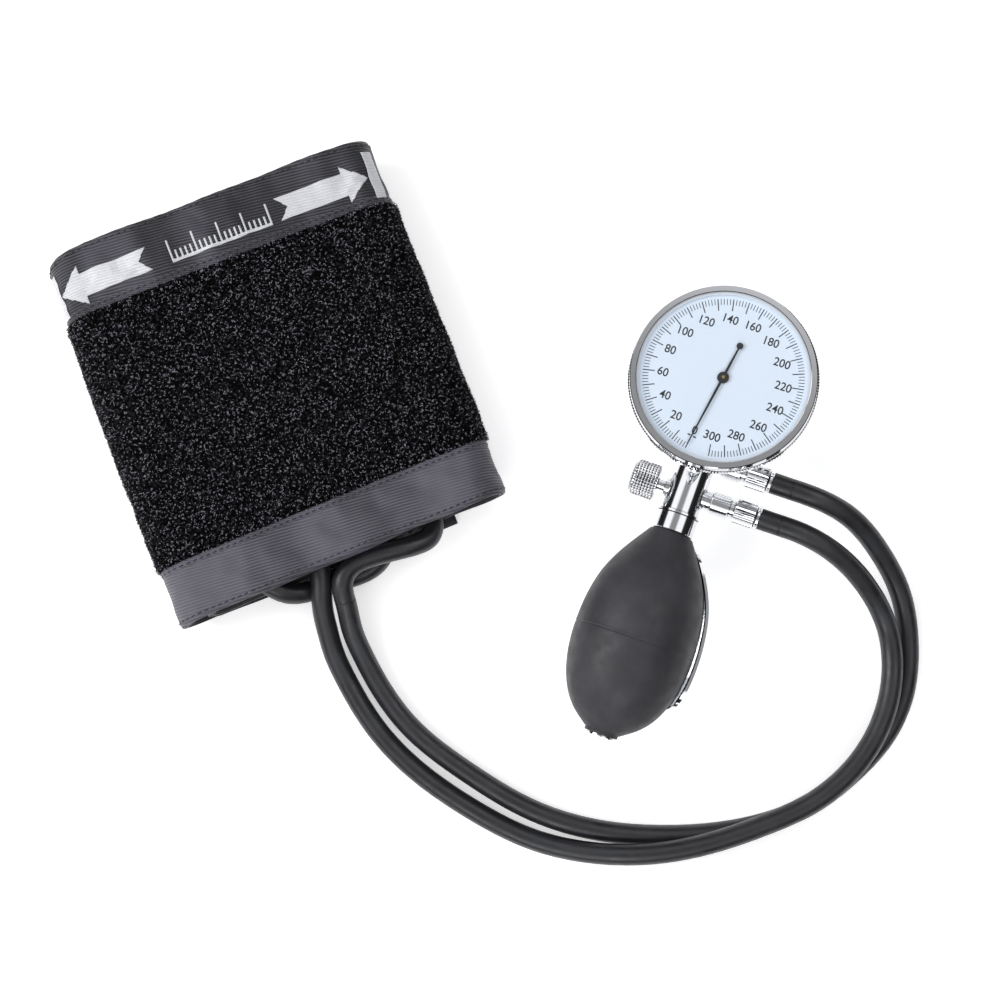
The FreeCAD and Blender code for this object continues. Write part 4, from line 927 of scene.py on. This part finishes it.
def make_numbers(level):
    """The numbers every 20 mmHg, all upright."""
    joined = bmesh.new()
    for value in range(0, FULL_SCALE + 1, 20):
        text = bpy.data.curves.new("number", "FONT")
        text.body = str(value)
        text.size = 1.0
        text.extrude = NUMBER_DEPTH
        text.offset = NUMBER_WEIGHT
        written = bpy.data.objects.new("number", text)
        bpy.context.scene.collection.objects.link(written)
        bpy.context.view_layer.update()
        shown = written.evaluated_get(bpy.context.evaluated_depsgraph_get())
        mesh = bpy.data.meshes.new_from_object(shown)
        points = np.array([vertex.co for vertex in mesh.vertices])
        low, high = points.min(0), points.max(0)
        scale = NUMBER_HEIGHT / (high[1] - low[1])
        middle = clock(NUMBER_RADIUS, ZERO_CLOCK + value / 10 * DEGREES_PER_10)
        place = Matrix.Translation((*middle, level + NUMBER_LIFT))
        grow = Matrix.Diagonal((scale * NUMBER_NARROW, scale, scale, 1))
        mesh.transform(place @ grow @ Matrix.Translation(-Vector((low + high) / 2)))
        joined.from_mesh(mesh)
        bpy.data.objects.remove(written)
        bpy.data.meshes.remove(mesh)
    numbers = bpy.data.meshes.new("numbers")
    joined.to_mesh(numbers)
    joined.free()
    points = [vertex.co for vertex in numbers.vertices]
    faces = [list(face.vertices) for face in numbers.polygons]
    thing = piece("dial_numbers", points, faces, DIAL, "frame", POINTER_BLACK)
    thing.data.shade_flat()
    bpy.data.meshes.remove(numbers)


# ---------------------------------------------------------------- stage


def lamp(name, spot, wide, power):
    """A soft square lamp turned to the middle of the table."""
    light = bpy.data.lights.new(name, "AREA")
    light.shape = "SQUARE"
    light.size = wide
    light.energy = power
    thing = bpy.data.objects.new(name, light)
    thing.location = spot
    thing.rotation_euler = (-Vector(spot)).to_track_quat("-Z", "Y").to_euler()
    bpy.context.scene.collection.objects.link(thing)


# The sky's brightness from the horizon, at 0, to its highest point, at 1: bright soft boxes stand
# round a darker ceiling, and the walls below them are dark.
SKY_LEVELS = [(0.30, 0.015), (0.52, 0.03), (0.62, 1.0), (0.90, 1.0), (0.95, 0.28)]
SKY_STRENGTH = 1.15
SKY_TINT = 1.02          # how much bluer than grey it is
SKY_LEAN = (-0.20, -0.05, 1.0)           # where its highest point stands


def make_sky():
    """The surroundings that the polished parts reflect, a little brighter on the left."""
    world = bpy.data.worlds.new("sky")
    bpy.context.scene.world = world
    world.use_nodes = True
    tree = world.node_tree
    direction = tree.nodes.new("ShaderNodeTexCoord").outputs["Generated"]
    height = tree.nodes.new("ShaderNodeVectorMath")
    height.operation = "DOT_PRODUCT"
    tree.links.new(direction, height.inputs[0])
    height.inputs[1].default_value = Vector(SKY_LEAN).normalized()
    ramp = tree.nodes.new("ShaderNodeValToRGB")
    tree.links.new(height.outputs["Value"], ramp.inputs["Fac"])
    for number, (level, bright) in enumerate(SKY_LEVELS):
        stop = ramp.color_ramp.elements[number] if number < 2 else ramp.color_ramp.elements.new(level)
        stop.position = level
        stop.color = (bright, bright, bright * SKY_TINT, 1)
    tree.links.new(ramp.outputs["Color"], tree.nodes["Background"].inputs["Color"])
    tree.nodes["Background"].inputs["Strength"].default_value = SKY_STRENGTH


FLOOR_GAP = 0.4          # the floor lies just below the cuff, whose stitches stand a little proud
FLOOR_HALF = 3.0         # in metres
FLOOR_GLOW = 0.45        # keeps the ground almost free of shadows
# The lamps: where each stands and how wide it is, in metres, and its power.
LAMPS = [("key", (-1.1, 0.1, 0.9), 0.8, 9), ("fill", (0.9, 0.5, 1.2), 0.7, 2),
         ("front", (-0.3, -1.1, 0.8), 0.6, 3)]


def make_stage():
    """A plain pale floor and soft light from above."""
    mesh = bpy.data.meshes.new("floor")
    corners = [(x * FLOOR_HALF, y * FLOOR_HALF, 0) for x, y in ((-1, -1), (1, -1), (1, 1), (-1, 1))]
    mesh.from_pydata(corners, [], [(0, 1, 2, 3)])
    floor = bpy.data.objects.new("floor", mesh)
    floor.location.z = -FLOOR_GAP * MM
    bpy.context.scene.collection.objects.link(floor)
    paint = Paint("floor_paint", (0.93, 0.93, 0.93), 0.7)
    tint = paint.mix(paint.noise(300.0, 2.0), (0.92, 0.92, 0.92), (0.94, 0.94, 0.94))
    floor.data.materials.append(paint.set(Base_Color=tint, Emission_Color=(1.0, 1.0, 1.0, 1.0),
                                          Emission_Strength=FLOOR_GLOW))
    make_sky()
    for each in LAMPS:
        lamp(*each)


# The camera: its target and distance in millimetres, its height over the table in degrees.
CAMERA_TARGET = (6.0, -1.5, 20.0)
CAMERA_DISTANCE = 690.0
CAMERA_ELEVATION = 84.0
CAMERA_LENS, CAMERA_FILM = 64.8, 36.0


def make_camera():
    """The camera looks down on the table, almost from above."""
    lens = bpy.data.cameras.new("camera")
    lens.lens = CAMERA_LENS
    lens.sensor_width = CAMERA_FILM
    lens.clip_end = 20.0
    camera = bpy.data.objects.new("camera", lens)
    tilt = math.radians(CAMERA_ELEVATION)
    away = Vector((0, -math.cos(tilt), math.sin(tilt))) * CAMERA_DISTANCE
    camera.location = (Vector(CAMERA_TARGET) + away) * MM
    camera.rotation_euler = away.to_track_quat("Z", "Y").to_euler()
    bpy.context.scene.collection.objects.link(camera)
    bpy.context.scene.camera = camera


paint_cad()
make_cloths()
make_pile()
make_tapes()
make_stitches()
make_print()
make_hooks()
make_bulb()
face_level = dial_level()
make_scale(face_level)
make_numbers(face_level)
make_stage()
make_camera()
bpy.context.scene.view_settings.view_transform = "Standard"
